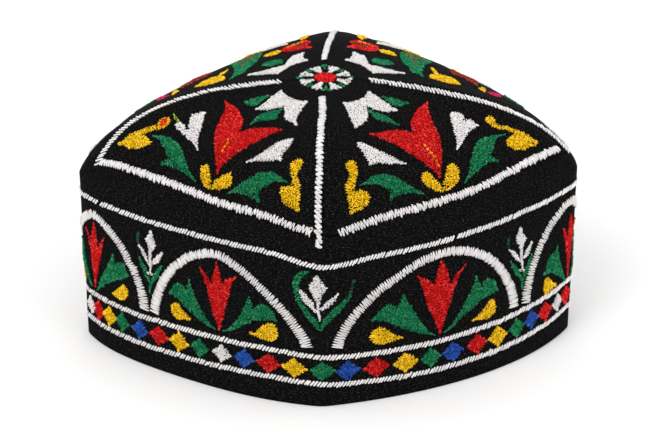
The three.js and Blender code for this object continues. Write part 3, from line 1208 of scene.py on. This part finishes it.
backGoreMotif = {
    "white": [
        [
            (-8.7, 23.2, tip), (-9.8, 28), (-14.4, 35.8, tip), (-11.9, 36.4), (-8.7, 36.6),
            (-3.7, 32.2, tip), (-1.1, 29.9), (1.8, 31.1), (5.4, 33.3), (8.4, 36), (12.1, 38.3, tip),
            (11.3, 32.6), (9, 27.5), (7, 22.6, tip), (2.8, 23.7), (-1.7, 24.7), (-5.1, 23.9),
        ],
        [
            (-24, 62, tip), (-20, 66), (-18, 71), (-18, 77, tip), (-22, 74.5), (-26, 73), (-29, 72.5, tip),
            (-27, 67),
        ],
        [(2, 84, tip), (8, 81), (15, 80), (22, 81, tip), (17, 84), (10, 86)],
    ],
    "red": [
        [
            (-19.6, 38.4, tip), (-21.2, 43.4), (-25.4, 47, tip), (-27.5, 55.4, tip), (-22.2, 56.6),
            (-18, 56.5), (-13.5, 51.2, tip), (-12.7, 45.6), (-14.9, 43.2), (-16.7, 40.7),
        ],
    ],
    "green": [
        [(-2.1, 32, tip), (-5.6, 37.6), (-3.6, 41.2), (-0.3, 43.2), (2.7, 41.2, tip), (2.5, 36.5), (1, 34)],
        [
            (-9.1, 57.8, tip), (-12.8, 64), (-13.7, 69.1, tip), (-8, 69.8), (-3, 70.5), (0.4, 67.9, tip),
            (3.8, 61), (7.6, 54.3), (12.5, 48.1), (17.2, 44.1, tip), (10.8, 42.8), (6.3, 45.3), (0.8, 48.3),
            (-3.5, 51.9),
        ],
        [
            (-41, 80.5, tip), (-35, 78.2), (-30.5, 77.4), (-26.5, 79.5), (-23, 84.3), (-19.2, 89.6, tip),
            (-26, 88.4), (-34.6, 89.2, tip), (-31.7, 85.7, tip), (-36, 82.1),
        ],
        [(38, 85.5, tip), (30, 83.5), (26, 84.2, tip), (22, 88), (16, 89.9, tip), (27, 89.6)],
    ],
    "yellow": [
        [
            (-14.4, 51.2, tip), (-14.5, 54.8), (-12.3, 56.4), (-9.3, 56.2), (-6.8, 54, tip), (-7.2, 51.4),
            (-9, 49.4), (-11.3, 49),
        ],
        [
            (7.1, 59, tip), (11, 58.6), (14.5, 56.4, tip), (16.3, 59), (20.3, 60.1), (25.9, 58.6, tip),
            (25.6, 54), (23.5, 50), (20.4, 47.6), (17.8, 46.4, tip), (15.1, 49.8), (14.5, 53.8, tip),
            (11.1, 55.4),
        ],
        [(28.1, 66.2, tip), (26.6, 70.5), (29.4, 70.4), (32.3, 66.2, tip)],
        [
            (-13, 82, tip), (-16, 86.6), (-14, 89.4), (-8, 90.6), (-1.7, 89.3), (1.4, 84.6),
            (-0.8, 82, tip), (-4.6, 85), (-8.5, 87.8, tip), (-10.6, 84.5),
        ],
        [(-38, 68), (-35.5, 70.5), (-31.5, 66), (-28, 58.6, tip), (-32, 61)],
        [
            (-29.5, 69.4, tip), (-27, 73.2), (-21, 75.2), (-15.5, 77.4), (-12.2, 75.4, tip), (-16.3, 72),
            (-20.7, 70.2), (-24.8, 69),
        ],
    ],
    "rust": [
        [
            (7.8, 69.2, tip), (7.4, 74), (11, 77.4), (19.3, 75.9), (25.2, 68.7, tip), (17.4, 68.4),
            (13.6, 66.8),
        ],
    ],
    "rose": [
        [(31.8, 67.7, tip), (29.8, 73), (32, 77.5), (35.2, 73.3), (35, 68.9, tip)],
    ],
    "pine": [[(-18, 44.5, tip), (-16, 48), (-20, 49.5, tip), (-21.5, 46.8)]],
}
goreMotifs = {
    "front_right": frontRightMotif,
    "front_left": frontLeftMotif,
    "back_right": backGoreMotif,
    "back_left": backGoreMotif,
}


def addGoreMotifs(gore):
    chart = goreChart(gore)
    for thread, outlines in goreMotifs[gore].items():
        batches = []
        for outline in outlines:
            batches += fillShape(chart, outlineOf(outline), fillLook)
        addEmbroidery("gore_" + gore + "_" + thread + "_motifs", batches, thread)


# A few loose strands of other colours lie over the shapes: gore, thread and path
looseStrands = [
    ("front_right", "orange", [(-3.6, 69.3), (-4.7, 73.4), (-4.2, 76.4), (-5.3, 79.7), (-6, 82.6)]),
    ("front_left", "orange", [(-0.8, 65.7), (-2.9, 67.8), (-4.6, 73.8)]),
    ("front_left", "lime", [(33.2, 62.4), (26.7, 65.3)]),
]
for gore in ("back_right", "back_left"):
    looseStrands += [
        (gore, "orange", [(-25, 52), (-21, 53), (-17, 52)]),
        (gore, "pine", [(-22, 45), (-20.5, 49), (-18, 48)]),
        (gore, "rust", [(-10, 62), (-5, 60), (0, 57), (5, 52)]),
        (gore, "rust", [(-10, 67), (-3, 65), (2, 60)]),
    ]
# A red knob lies on a yellow shape of the front left gore
redKnob = [
    (33.1, 71.2), (35.2, 69.2), (35.7, 67.3), (35.2, 65.9), (32.9, 65.2), (31, 66.9), (30.3, 68.8),
    (30.6, 70.6),
]


def openPath(points):
    flat = np.array(points, float)
    before, after = 2 * flat[0] - flat[1], 2 * flat[-1] - flat[-2]
    return np.vstack([smoothRun(flat, before, after, 0.5), flat[-1:]])


def addStrands():
    for i, (gore, thread, path) in enumerate(looseStrands):
        batches = runLine(goreChart(gore), openPath(path), strandLook)
        addEmbroidery(f"gore_{gore}_{thread}_strand_{i + 1}", batches, thread)
    knob = fillShape(goreChart("front_left"), outlineOf(redKnob), overLook)
    addEmbroidery("gore_front_left_red_knob", knob, "red")


for gore in goreHomes:
    addGoreMotifs(gore)
addStrands()
print("skullcap: gore motifs stitched")

# Lines along the four ridges, each with its turn, its look and points as sideways shift and way down,
# and lines along the feet of the gores
ridgeLines = {
    "front": (
        0.0,
        ridgeLook,
        [
            (-0.3, 21), (-0.2, 33), (-0.9, 55), (-1.15, 68.5), (-1.4, 79), (-1.6, 88), (-1.4, 92),
            (-1.1, 96.6),
        ],
    ),
    "right": (
        0.25,
        sideRidgeLook,
        [
            (-0.4, 17.6), (-1.4, 24.4), (-2.2, 30.8), (-2.8, 38), (-3.1, 48.5), (-1.7, 60), (-0.3, 69.5),
            (1.7, 79), (2.0, 86), (0.6, 91.5),
        ],
    ),
    "back": (0.5, backRidgeLook, [(0.9, 17.5), (0.6, 28), (0.1, 41), (-0.5, 57), (-0.8, 92)]),
    "left": (
        0.75,
        sideRidgeLook,
        [(0.8, 17), (0.4, 33), (-0.3, 44), (-0.5, 54), (-0.7, 64), (1.2, 74), (5.6, 83), (12, 92)],
    ),
}
baseLines = {
    "front_right": [(-59.5, 93.1), (0, 92.7), (20, 91.5), (40, 90), (57, 88.5)],
    "front_left": [(-60.3, 93.2), (-57.5, 92.5), (-20, 92.3), (0, 91.5), (20, 91), (51, 91)],
    "back_right": [(-60, 92), (0, 92), (60, 91.5)],
    "back_left": [(-60, 92), (0, 92), (60, 91.5)],
}

for ridge, (turn, look, points) in ridgeLines.items():
    addEmbroidery("ridge_line_" + ridge, crossLine(ridgeChart(turn), openPath(points), look), "white")
for gore, points in baseLines.items():
    addEmbroidery("base_line_" + gore, crossLine(goreChart(gore), openPath(points), baseLook), "white")

# The rosette. Its outlines are given in millimetres from its middle and in degrees.
rosette = {
    "centre": (0.9, 0.0),
    "stretch": (0.95, 1.03),
    "petals": 8,
    "petal": [
        (5.3, -10, tip), (5.3, 10, tip), (9.84, 14.5), (12.1, 14, tip), (11, 8, tip), (12.6, 3, tip),
        (11.1, -4, tip), (12.2, -11, tip), (9.84, -14.5),
    ],
    "heart": [(5.4, angle) for angle in range(0, 360, 30)],
    # where each leaf between two petals starts and ends, and half its width in degrees
    "leaves": {0: (7.2, 13.0, 10), 2: (9.6, 13.0, 4.5), 4: (8.3, 12.6, 8), 6: (9.6, 13.0, 4.5)},
    "diagonalLeaf": (8.4, 11.9, 3.2),
}


def onRosette(outline, turned):
    # degrees run from the front, anticlockwise seen from above
    centreX, centreY = rosette["centre"]
    stretchX, stretchY = rosette["stretch"]
    made = []
    for radius, degrees, *mark in outline:
        angle = math.radians(turned + degrees)
        x = centreX + radius * math.sin(angle) * stretchX
        y = centreY - radius * math.cos(angle) * stretchY
        made.append((x, y, *mark))
    return outlineOf(made)


def leafOutline(foot, end, spread):
    # shoulders round the leaf's two sides a little way before its end
    shoulder, bulge = end * 0.92, spread * 0.8
    return [(foot, 0, tip), (shoulder, bulge), (end, spread, tip), (end, -spread, tip), (shoulder, -bulge)]


def addRosette():
    step = 360 / rosette["petals"]
    petals = []
    leaves = []
    for i in range(rosette["petals"]):
        petals += fillShape(topChart, onRosette(rosette["petal"], (i + 0.5) * step), fillLook)
        leaf = leafOutline(*rosette["leaves"].get(i, rosette["diagonalLeaf"]))
        leaves += fillShape(topChart, onRosette(leaf, i * step), fillLook)
    addEmbroidery("rosette_petals", petals, "white")
    addEmbroidery("rosette_leaves", leaves, "green")
    addEmbroidery("rosette_heart", fillShape(topChart, onRosette(rosette["heart"], 0), fillLook), "red")


addRosette()
print("skullcap: crown lines and rosette stitched")

# The band's three lines wander up and down together
bandLines = {"top": 69.0, "upper": 23.3, "lower": 10.2}  # heights
# pitches from the front corner, lift
bandWander = [
    (-28, 0), (-12, 0), (-8, -0.3), (-4, 0.8), (-2, 1.5), (-0.3, 1), (1, -0.3), (4, -1.6), (7, -1.1),
    (10, 0.5), (11.5, 2), (14, 0), (28, 0),
]
lineDips = {"top": (2.4, 1.2)}  # how far a line dips at the front corner, and over how many pitches
lineBreaks = {"top": [(-10.44, -10.3), (5.21, 5.34)]}  # worn-through places


def wanderAt(pitches):
    steps = np.arange(-halfRound - 2, halfRound + 2.01, 0.1)
    rough = np.interp(steps, *zip(*bandWander))
    kernel = np.hanning(13)  # rounds the knots off
    smooth = np.convolve(rough, kernel / kernel.sum(), "same")
    return np.interp(pitches, steps, smooth)


def unbroken(pitches, breaks):
    # cuts a run of pitches where the line is worn through
    runs = [pitches]
    for first, last in breaks:
        runs = [part for run in runs for part in (run[run < first], run[run > last]) if len(part) > 3]
    return runs


for line, height in bandLines.items():
    batches = []
    for pitches in unbroken(np.linspace(-halfRound, halfRound, 1600), lineBreaks.get(line, [])):
        depth, spread = lineDips.get(line, (0, 1))
        lift = wanderAt(pitches) - depth * np.exp(-((pitches / spread) ** 2))
        path = np.stack([pitches * patternPitch, height + lift], axis=1)
        batches += crossLine(bandChart, path, ropeLook)
    addEmbroidery("band_" + line + "_line", batches, "white")

# Arches round the band: feet and apex in pitches and millimetres, and how square each half is
arches = {
    "front_right": {"left": (0.5, 27), "right": (7.9, 25), "apex": (4.65, 62.1), "square": (1.7, 1.95)},
    "side_right": {"left": (8.55, 25), "right": (13.9, 26), "apex": (11.25, 64.2), "square": (1.55, 1.55)},
    "back_right": {"left": (15.2, 26), "right": (23.4, 26), "apex": (19.3, 63), "square": (1.8, 1.8)},
    "back": {"left": (24, 26), "right": (32, 26), "apex": (28, 63), "square": (1.8, 1.8)},
    "back_left": {"left": (-23.4, 26), "right": (-14.6, 26), "apex": (-19, 63), "square": (1.8, 1.8)},
    "side_left": {"left": (-13.1, 26), "right": (-7.75, 26), "apex": (-10.8, 61.8), "square": (1.5, 1.6)},
    "front_left": {"left": (-7.25, 26), "right": (-0.5, 28), "apex": (-4.3, 63.2), "square": (1.8, 1.4)},
}


def bandChartRound(x, y):
    # past the back corner the pattern goes on from the other side
    wrapped = (x / patternPitch + halfRound) % (2 * halfRound) * patternPitch - halfRound * patternPitch
    return bandChart(wrapped, y)


def archPath(arch):
    angle = np.linspace(0.02, math.pi / 2, 60)
    halves = []
    for foot, square in zip((arch["left"], arch["right"]), arch["square"]):
        out = np.cos(angle) ** (2 / square)
        up = np.sin(angle) ** (2 / square)
        x = blendTo(arch["apex"][0], foot[0], out)
        z = blendTo(foot[1], arch["apex"][1], up)
        halves.append(np.stack([x * patternPitch, z], axis=1))
    return np.vstack([halves[0], halves[1][::-1][1:]])


archBatches = []
for arch in arches.values():
    archBatches += crossLine(bandChartRound, archPath(arch), archLook)
addEmbroidery("band_arches", archBatches, "white")

frontRightArchMotif = {
    "tulip": [
        [
            (4.4, 24.8, tip), (4.3, 27), (4.1, 34), (3.9, 40), (3.75, 47), (3.55, 54.8, tip), (3.85, 53.5),
            (4.1, 51.5), (4.25, 49.5, tip), (4.35, 53), (4.62, 59, tip), (4.85, 54.5), (4.97, 48.5, tip),
            (5.2, 51), (5.67, 54.3, tip), (5.4, 49.5), (5.2, 45), (5.05, 40.5), (4.85, 35.5), (4.6, 29),
        ],
    ],
    "leaves": [
        [
            (4.2, 25, tip), (4, 28), (3.75, 32), (3.5, 37), (3.3, 42), (3.02, 48, tip), (2.72, 43, tip),
            (2.45, 45), (2.2, 44), (1.95, 42), (1.7, 38.2, tip), (2.3, 36), (2.8, 32), (3.2, 29.5),
            (3.6, 27),
        ],
        [
            (4.55, 25, tip), (4.9, 26), (5.3, 28.5), (5.7, 31), (6.1, 33.5), (6.4, 35), (7.15, 36.5, tip),
            (7.1, 40), (6.95, 42.5), (6.6, 44.7), (6.33, 42.5, tip), (6.1, 47.5, tip), (5.95, 44.5),
            (5.8, 41), (5.5, 36.5), (5.2, 32), (4.9, 28.5),
        ],
    ],
    "drops": [
        [
            (2.95, 27.5, tip), (2.6, 30.5), (2.3, 33.5), (2.05, 35.3), (1.7, 33.5), (1.62, 30), (1.9, 26.3),
            (2.4, 25.9),
        ],
        [
            (5.8, 26.8, tip), (6.1, 29), (6.45, 32), (6.7, 34.3), (6.95, 33), (7, 29), (6.8, 25.7),
            (6.3, 25.3),
        ],
    ],
}
frontLeftArchMotif = {
    "tulip": [
        [
            (-4.12, 27.5, tip), (-4.3, 31), (-4.5, 36), (-4.65, 41), (-4.8, 46), (-5.12, 55.2, tip),
            (-4.8, 53), (-4.58, 50.3, tip), (-4.5, 54), (-4.33, 60, tip), (-4.15, 56), (-4, 51.5, tip),
            (-3.85, 53.5), (-3.43, 55.5, tip), (-3.6, 49), (-3.75, 42), (-3.9, 35), (-4.02, 30),
        ],
    ],
    "leaves": [
        [
            (-4.3, 27.8, tip), (-4.6, 31), (-4.9, 35), (-5.2, 40), (-5.57, 48.2, tip), (-5.75, 44, tip),
            (-6.1, 45.2), (-6.35, 43), (-6.6, 38, tip), (-6.2, 37), (-5.6, 33), (-4.8, 28.5),
        ],
        [
            (-3.95, 28, tip), (-3.6, 28.8), (-3.2, 31.5), (-2.6, 36), (-1.65, 38.5, tip), (-1.7, 41),
            (-1.85, 43.5), (-2.2, 46), (-2.65, 43.3, tip), (-2.85, 48, tip), (-3.1, 42), (-3.3, 37),
            (-3.6, 32),
        ],
    ],
    "drops": [
        [
            (-5.38, 29, tip), (-5.7, 32), (-5.95, 34.5), (-6.2, 35.7), (-6.45, 33), (-6.42, 29.5),
            (-6.1, 27.2), (-5.7, 27.7),
        ],
        [
            (-2.82, 30.3, tip), (-2.55, 32.3), (-2.3, 35.2), (-1.95, 37.7), (-1.66, 36), (-1.6, 31),
            (-1.85, 28), (-2.3, 28), (-2.6, 29),
        ],
    ],
}
sideRightArchMotif = {
    "tulip": [
        [
            (11.4, 26.8, tip), (11.22, 34), (11.08, 41.2), (10.92, 47.4), (10.88, 52.8, tip),
            (11.14, 49.4, tip), (11.25, 53.6), (11.39, 57.6, tip), (11.55, 54.5), (11.65, 51.8, tip),
            (11.9, 54, tip), (11.78, 48.6), (11.62, 40.8), (11.52, 32.8),
        ],
    ],
    "leaves": [
        [
            (11.26, 25.4, tip), (11.02, 31.4), (10.77, 38), (10.53, 45.6, tip), (10.31, 43), (10.04, 43),
            (9.87, 40.4), (9.77, 37.4), (9.62, 34.4, tip), (9.95, 34), (10.26, 32.8), (10.69, 29.4),
        ],
        [
            (11.6, 25.6, tip), (11.8, 32), (11.95, 40), (12, 47.5, tip), (12.15, 43.5, tip), (12.5, 44.5),
            (12.8, 42), (13.2, 37, tip), (12.7, 35), (12.1, 31), (11.8, 27),
        ],
    ],
    "drops": [
        [
            (10.58, 26.8, tip), (10.27, 30), (9.96, 32.8), (9.73, 32.8), (9.58, 30), (9.62, 27), (9.81, 24),
            (10.21, 25.4),
        ],
        [(12.1, 27.5, tip), (12.3, 31), (12.6, 33.5), (12.9, 33), (13.05, 30), (12.9, 27), (12.5, 26)],
    ],
}
sideLeftArchMotif = {
    "tulip": [
        [
            (-10.79, 26.8, tip), (-10.95, 34.6), (-11.1, 43.4), (-11.22, 49.6), (-11.33, 54.4, tip),
            (-11.04, 50.8, tip), (-10.89, 55.2), (-10.75, 58.4, tip), (-10.62, 55.6), (-10.47, 48.8, tip),
            (-10.07, 53.4, tip), (-10.18, 49), (-10.29, 43), (-10.53, 34.4),
        ],
    ],
    "leaves": [
        [
            (-10.68, 25.6, tip), (-10.46, 31.6), (-10.17, 37), (-9.88, 42), (-9.58, 47.4, tip),
            (-9.4, 43.8, tip), (-9.1, 45), (-8.89, 45.2), (-8.74, 42.6), (-8.6, 39.6, tip), (-8.89, 37.2),
            (-9.59, 33.2),
        ],
        [
            (-11, 26.2, tip), (-11.25, 31.8), (-11.46, 37.6), (-11.62, 44.2), (-11.9, 47.6, tip),
            (-12, 43, tip), (-12.2, 43.4), (-12.4, 41), (-12.55, 37, tip), (-12.2, 35.5), (-11.7, 31.5),
            (-11.3, 27.5),
        ],
    ],
    "drops": [
        [
            (-9.67, 28, tip), (-9.26, 32.4), (-8.89, 35.2), (-8.62, 32.4), (-8.77, 28), (-9.05, 26.2),
            (-9.4, 26.8),
        ],
        [
            (-11.62, 27.6, tip), (-11.8, 31), (-11.95, 33.5), (-12.25, 34.2), (-12.5, 32), (-12.45, 29),
            (-12.1, 27),
        ],
    ],
}
motifThreads = {"tulip": "red", "leaves": "green", "drops": "yellow"}


motifFit = {"foot": 26, "height": 37, "lift": 1}


def fitMotif(points, arch):
    # moves a shape of the front right arch into another arch
    home = arches["front_right"]
    homeMiddle = (home["left"][0] + home["right"][0]) / 2
    middle = (arch["left"][0] + arch["right"][0]) / 2
    scale = (arch["right"][0] - arch["left"][0]) / (home["right"][0] - home["left"][0])
    lean = arch["apex"][0] - middle - (home["apex"][0] - homeMiddle) * scale
    made = []
    for x, y, *mark in points:
        share = (y - motifFit["foot"]) / motifFit["height"]
        made.append((middle + (x - homeMiddle) * scale + lean * share, y + motifFit["lift"], *mark))
    return made


def fitted(motif, arch):
    return {kind: [fitMotif(outline, arch) for outline in outlines] for kind, outlines in motif.items()}


archMotifs = {
    "front_right": frontRightArchMotif,
    "side_right": sideRightArchMotif,
    "side_left": sideLeftArchMotif,
    "front_left": frontLeftArchMotif,
}
for place in ("back_right", "back", "back_left"):
    archMotifs[place] = fitted(frontRightArchMotif, arches[place])

for kind, thread in motifThreads.items():
    batches = []
    for motif in archMotifs.values():
        for outline in motif[kind]:
            batches += fillShape(bandChartRound, bandOutline(outline), fillLook)
    addEmbroidery("band_" + kind, batches, thread)

# A sprig stands between each two arches. The side ones are all drawn about their own foot.
sprigPlaces = [(8.41, 0), (14.55, 2), (23.7, 2), (32.3, 2), (-13.85, 2), (-7.47, 2.6)]  # pitches, lift
frontSprig = {
    "flower": [
        [
            (-0.16, 63.5, tip), (0, 60.7), (0.19, 57.2, tip), (0.07, 54.4), (-0.045, 51.3), (-0.07, 47.5),
            (-0.04, 44.3), (-0.07, 41.3, tip), (-0.21, 45), (-0.21, 48.7), (-0.29, 51.9), (-0.42, 55),
            (-0.47, 58.2), (-0.33, 61),
        ],
        [
            (-0.8, 55.6, tip), (-0.6, 55), (-0.4, 52.4), (-0.25, 49.2), (-0.2, 45.8, tip), (-0.38, 46.8),
            (-0.58, 48.8), (-0.75, 52),
        ],
        [
            (0.55, 54.4, tip), (0.4, 53.4), (0.2, 51.6), (0, 49.1), (-0.06, 46.5, tip), (0.12, 47.2),
            (0.3, 48.7), (0.48, 51.3),
        ],
    ],
    "leaves": [
        [
            (-0.07, 36.6, tip), (-0.13, 41), (-0.35, 44.6), (-0.59, 48.6), (-0.76, 52.2), (-0.82, 55.4),
            (-0.75, 58.8), (-0.62, 62.4), (-0.42, 64.6, tip), (-0.6, 65.2), (-0.84, 63.8), (-1.03, 61.4),
            (-1.1, 58.6), (-1.06, 54.8), (-0.95, 50.8), (-0.78, 46.8), (-0.57, 42.8), (-0.33, 39.2),
        ],
        [
            (-0.05, 36.6, tip), (0.15, 39.4), (0.34, 42), (0.55, 44.4), (0.76, 47.2), (0.95, 50.6),
            (1, 53, tip), (0.78, 51.6), (0.57, 49.6), (0.34, 47.2), (0.19, 45.2), (0.05, 43.2), (-0.04, 41),
        ],
    ],
    "shadows": [[(0.78, 51, tip), (0.98, 52), (1.08, 55), (1.12, 59.4, tip), (1, 58.6), (0.93, 55.4)]],
}
sideSprig = {
    "flower": [
        [
            (-0.03, 62.4, tip), (-0.26, 59.4), (-0.34, 57), (-0.22, 54), (-0.15, 51.6), (-0.13, 46.6),
            (-0.02, 41, tip), (0.04, 45), (0.05, 49), (0.07, 51.6), (0.17, 53.6), (0.27, 56.2), (0.13, 59),
        ],
        [(-0.68, 53.8, tip), (-0.46, 53), (-0.22, 50.2), (-0.1, 46, tip), (-0.3, 47.4), (-0.5, 50)],
        [
            (0.58, 53.8, tip), (0.38, 52.8), (0.2, 50.8), (0.02, 47.2, tip), (0.2, 46.9), (0.4, 48.2),
            (0.52, 50.2),
        ],
    ],
    "leaves": [
        [
            (-0.03, 32.6, tip), (-0.16, 37.4), (-0.37, 41), (-0.57, 44.6), (-0.62, 48.4, tip),
            (-0.28, 44.4), (-0.02, 39.6, tip), (0.14, 42.2), (0.33, 45.6), (0.56, 47.8, tip), (0.53, 44.4),
            (0.31, 39.8), (0.1, 36.4),
        ],
    ],
    "shadows": [[(-0.68, 60, tip), (-0.6, 57.2), (-0.68, 54, tip), (-0.8, 56), (-0.8, 58.4)]],
}
sprigThreads = {"flower": "white", "leaves": "green", "shadows": "pine"}

for kind, thread in sprigThreads.items():
    shapes = [bandOutline(outline) for outline in frontSprig[kind]]
    for place in sprigPlaces:
        shapes += [bandOutline(outline, place) for outline in sideSprig[kind]]
    batches = []
    for shape in shapes:
        batches += fillShape(bandChartRound, shape, sprigLook)
    addEmbroidery("band_sprig_" + kind, batches, thread)

# Diamonds between the two lower lines, one for each pitch, with the first letters of their colours
diamonds = {
    "front": "WRYGBRYGWBRYGBRYGBRYGBRWR",  # from the left corner to the right one
    "back": "GBRY",  # over and over
    "threads": {"W": "white", "R": "red", "Y": "yellow", "G": "green", "B": "blue"},
    # half width in pitches, half height in millimetres
    "sizes": {"W": (0.47, 4.8), "R": (0.53, 5.2), "Y": (0.53, 5.3), "G": (0.47, 5.1), "B": (0.49, 5.2)},
    "shifts": {
        -12: 0.75, -11: 0.4, -10: 0.17, 1: -0.13, 2: -0.1, 5: -0.08,
        9: -0.13, 10: -0.25, 11: -0.35, 12: -0.65,
    },
    "drop": 0.2,  # below the middle between the lines
    "shape": [
        (-1, 0, tip), (-0.54, -0.54), (0, -1, tip), (0.54, -0.54), (1, 0, tip), (0.54, 0.54), (0, 1, tip),
        (-0.54, 0.54),
    ],
}


def addDiamonds():
    batches = {letter: [] for letter in diamonds["threads"]}
    rowMiddle = (bandLines["upper"] + bandLines["lower"]) / 2 - diamonds["drop"]
    for i in range(1 - halfRound, 1 + halfRound):
        isFront = abs(i) <= frontPitches
        letter = diamonds["front"][i + frontPitches] if isFront else diamonds["back"][i % 4]
        place = i + diamonds["shifts"].get(i, 0)
        halfWidth, halfHeight = diamonds["sizes"][letter]
        outline = [(x * halfWidth, y * halfHeight, *mark) for x, y, *mark in diamonds["shape"]]
        shape = bandOutline(outline, (place, rowMiddle + float(wanderAt(place))))
        batches[letter] += fillShape(bandChartRound, shape, fillLook)
    for letter, thread in diamonds["threads"].items():
        addEmbroidery("band_diamonds_" + thread, batches[letter], thread)


addDiamonds()
print("skullcap: band stitched")

# Studio
studio = {
    "floorSize": 16.0,
    "floorColour": (0.93, 0.93, 0.93, 1),
    "ambient": 1.05,
    "keyPower": 40,
    "keySize": 2.4,
    "keyPlace": (-1.6, -2.2, 2.8),
    "fillPower": 16,
    "fillPlace": (2.4, -1.6, 1.8),
    "lightAim": (0, 0, 0.05),
}


def addFloor():
    half = studio["floorSize"] / 2
    corners = [(-half, -half, 0), (half, -half, 0), (half, half, 0), (-half, half, 0)]
    mesh = bpy.data.meshes.new("floor")
    mesh.from_pydata(corners, [], [(0, 1, 2, 3)])
    floor = bpy.data.objects.new("floor", mesh)
    bpy.context.scene.collection.objects.link(floor)
    material, _, shader = newMaterial("pale_floor", 0.9, 0.1)
    shader.inputs["Base Color"].default_value = studio["floorColour"]
    mesh.materials.append(material)


def addLight(name, place, power, size):
    light = bpy.data.lights.new(name, "AREA")
    light.energy = power
    light.shape = "DISK"
    light.size = size
    lamp = bpy.data.objects.new(name, light)
    lamp.location = place
    aim = Vector(studio["lightAim"]) - Vector(place)
    lamp.rotation_euler = aim.to_track_quat("-Z", "Y").to_euler()
    bpy.context.scene.collection.objects.link(lamp)


addFloor()
addLight("key_light", studio["keyPlace"], studio["keyPower"], studio["keySize"])
addLight("fill_light", studio["fillPlace"], studio["fillPower"], studio["keySize"])
world = bpy.data.worlds.new("studio_world")
world.use_nodes = True
background = world.node_tree.nodes["Background"]
background.inputs["Color"].default_value = (1, 1, 1, 1)
background.inputs["Strength"].default_value = studio["ambient"]
bpy.context.scene.world = world
bpy.context.scene.view_settings.view_transform = "Standard"

# Camera: the photograph's viewing angle, in degrees and millimetres
view = {
    "azimuth": -1.345,
    "elevation": 26.0,
    "distance": 2201.0,
    "focalPixels": 5076.26,
    "imageWidth": 650,  # pixels
    "sensorWidth": 36,
    "aimRight": -1.544,
    "aimHeight": 54.773,
}


def addCamera():
    azimuth, elevation = math.radians(view["azimuth"]), math.radians(view["elevation"])
    flat = math.cos(elevation)
    back = Vector((math.sin(azimuth) * flat, -math.cos(azimuth) * flat, math.sin(elevation)))
    right = Vector((math.cos(azimuth), math.sin(azimuth), 0))
    up = back.cross(right)
    target = right * view["aimRight"] + Vector((0, -planShift, view["aimHeight"]))
    place = (target + back * view["distance"]) * mm
    data = bpy.data.cameras.new("camera")
    data.sensor_fit = "HORIZONTAL"
    data.sensor_width = view["sensorWidth"]
    data.lens = view["sensorWidth"] * view["focalPixels"] / view["imageWidth"]
    data.clip_end = 50
    camera = bpy.data.objects.new("camera", data)
    axes = Matrix((right, up, back)).transposed().to_4x4()
    camera.matrix_world = Matrix.Translation(place) @ axes
    bpy.context.scene.collection.objects.link(camera)
    bpy.context.scene.camera = camera


addCamera()
print("skullcap: studio set")
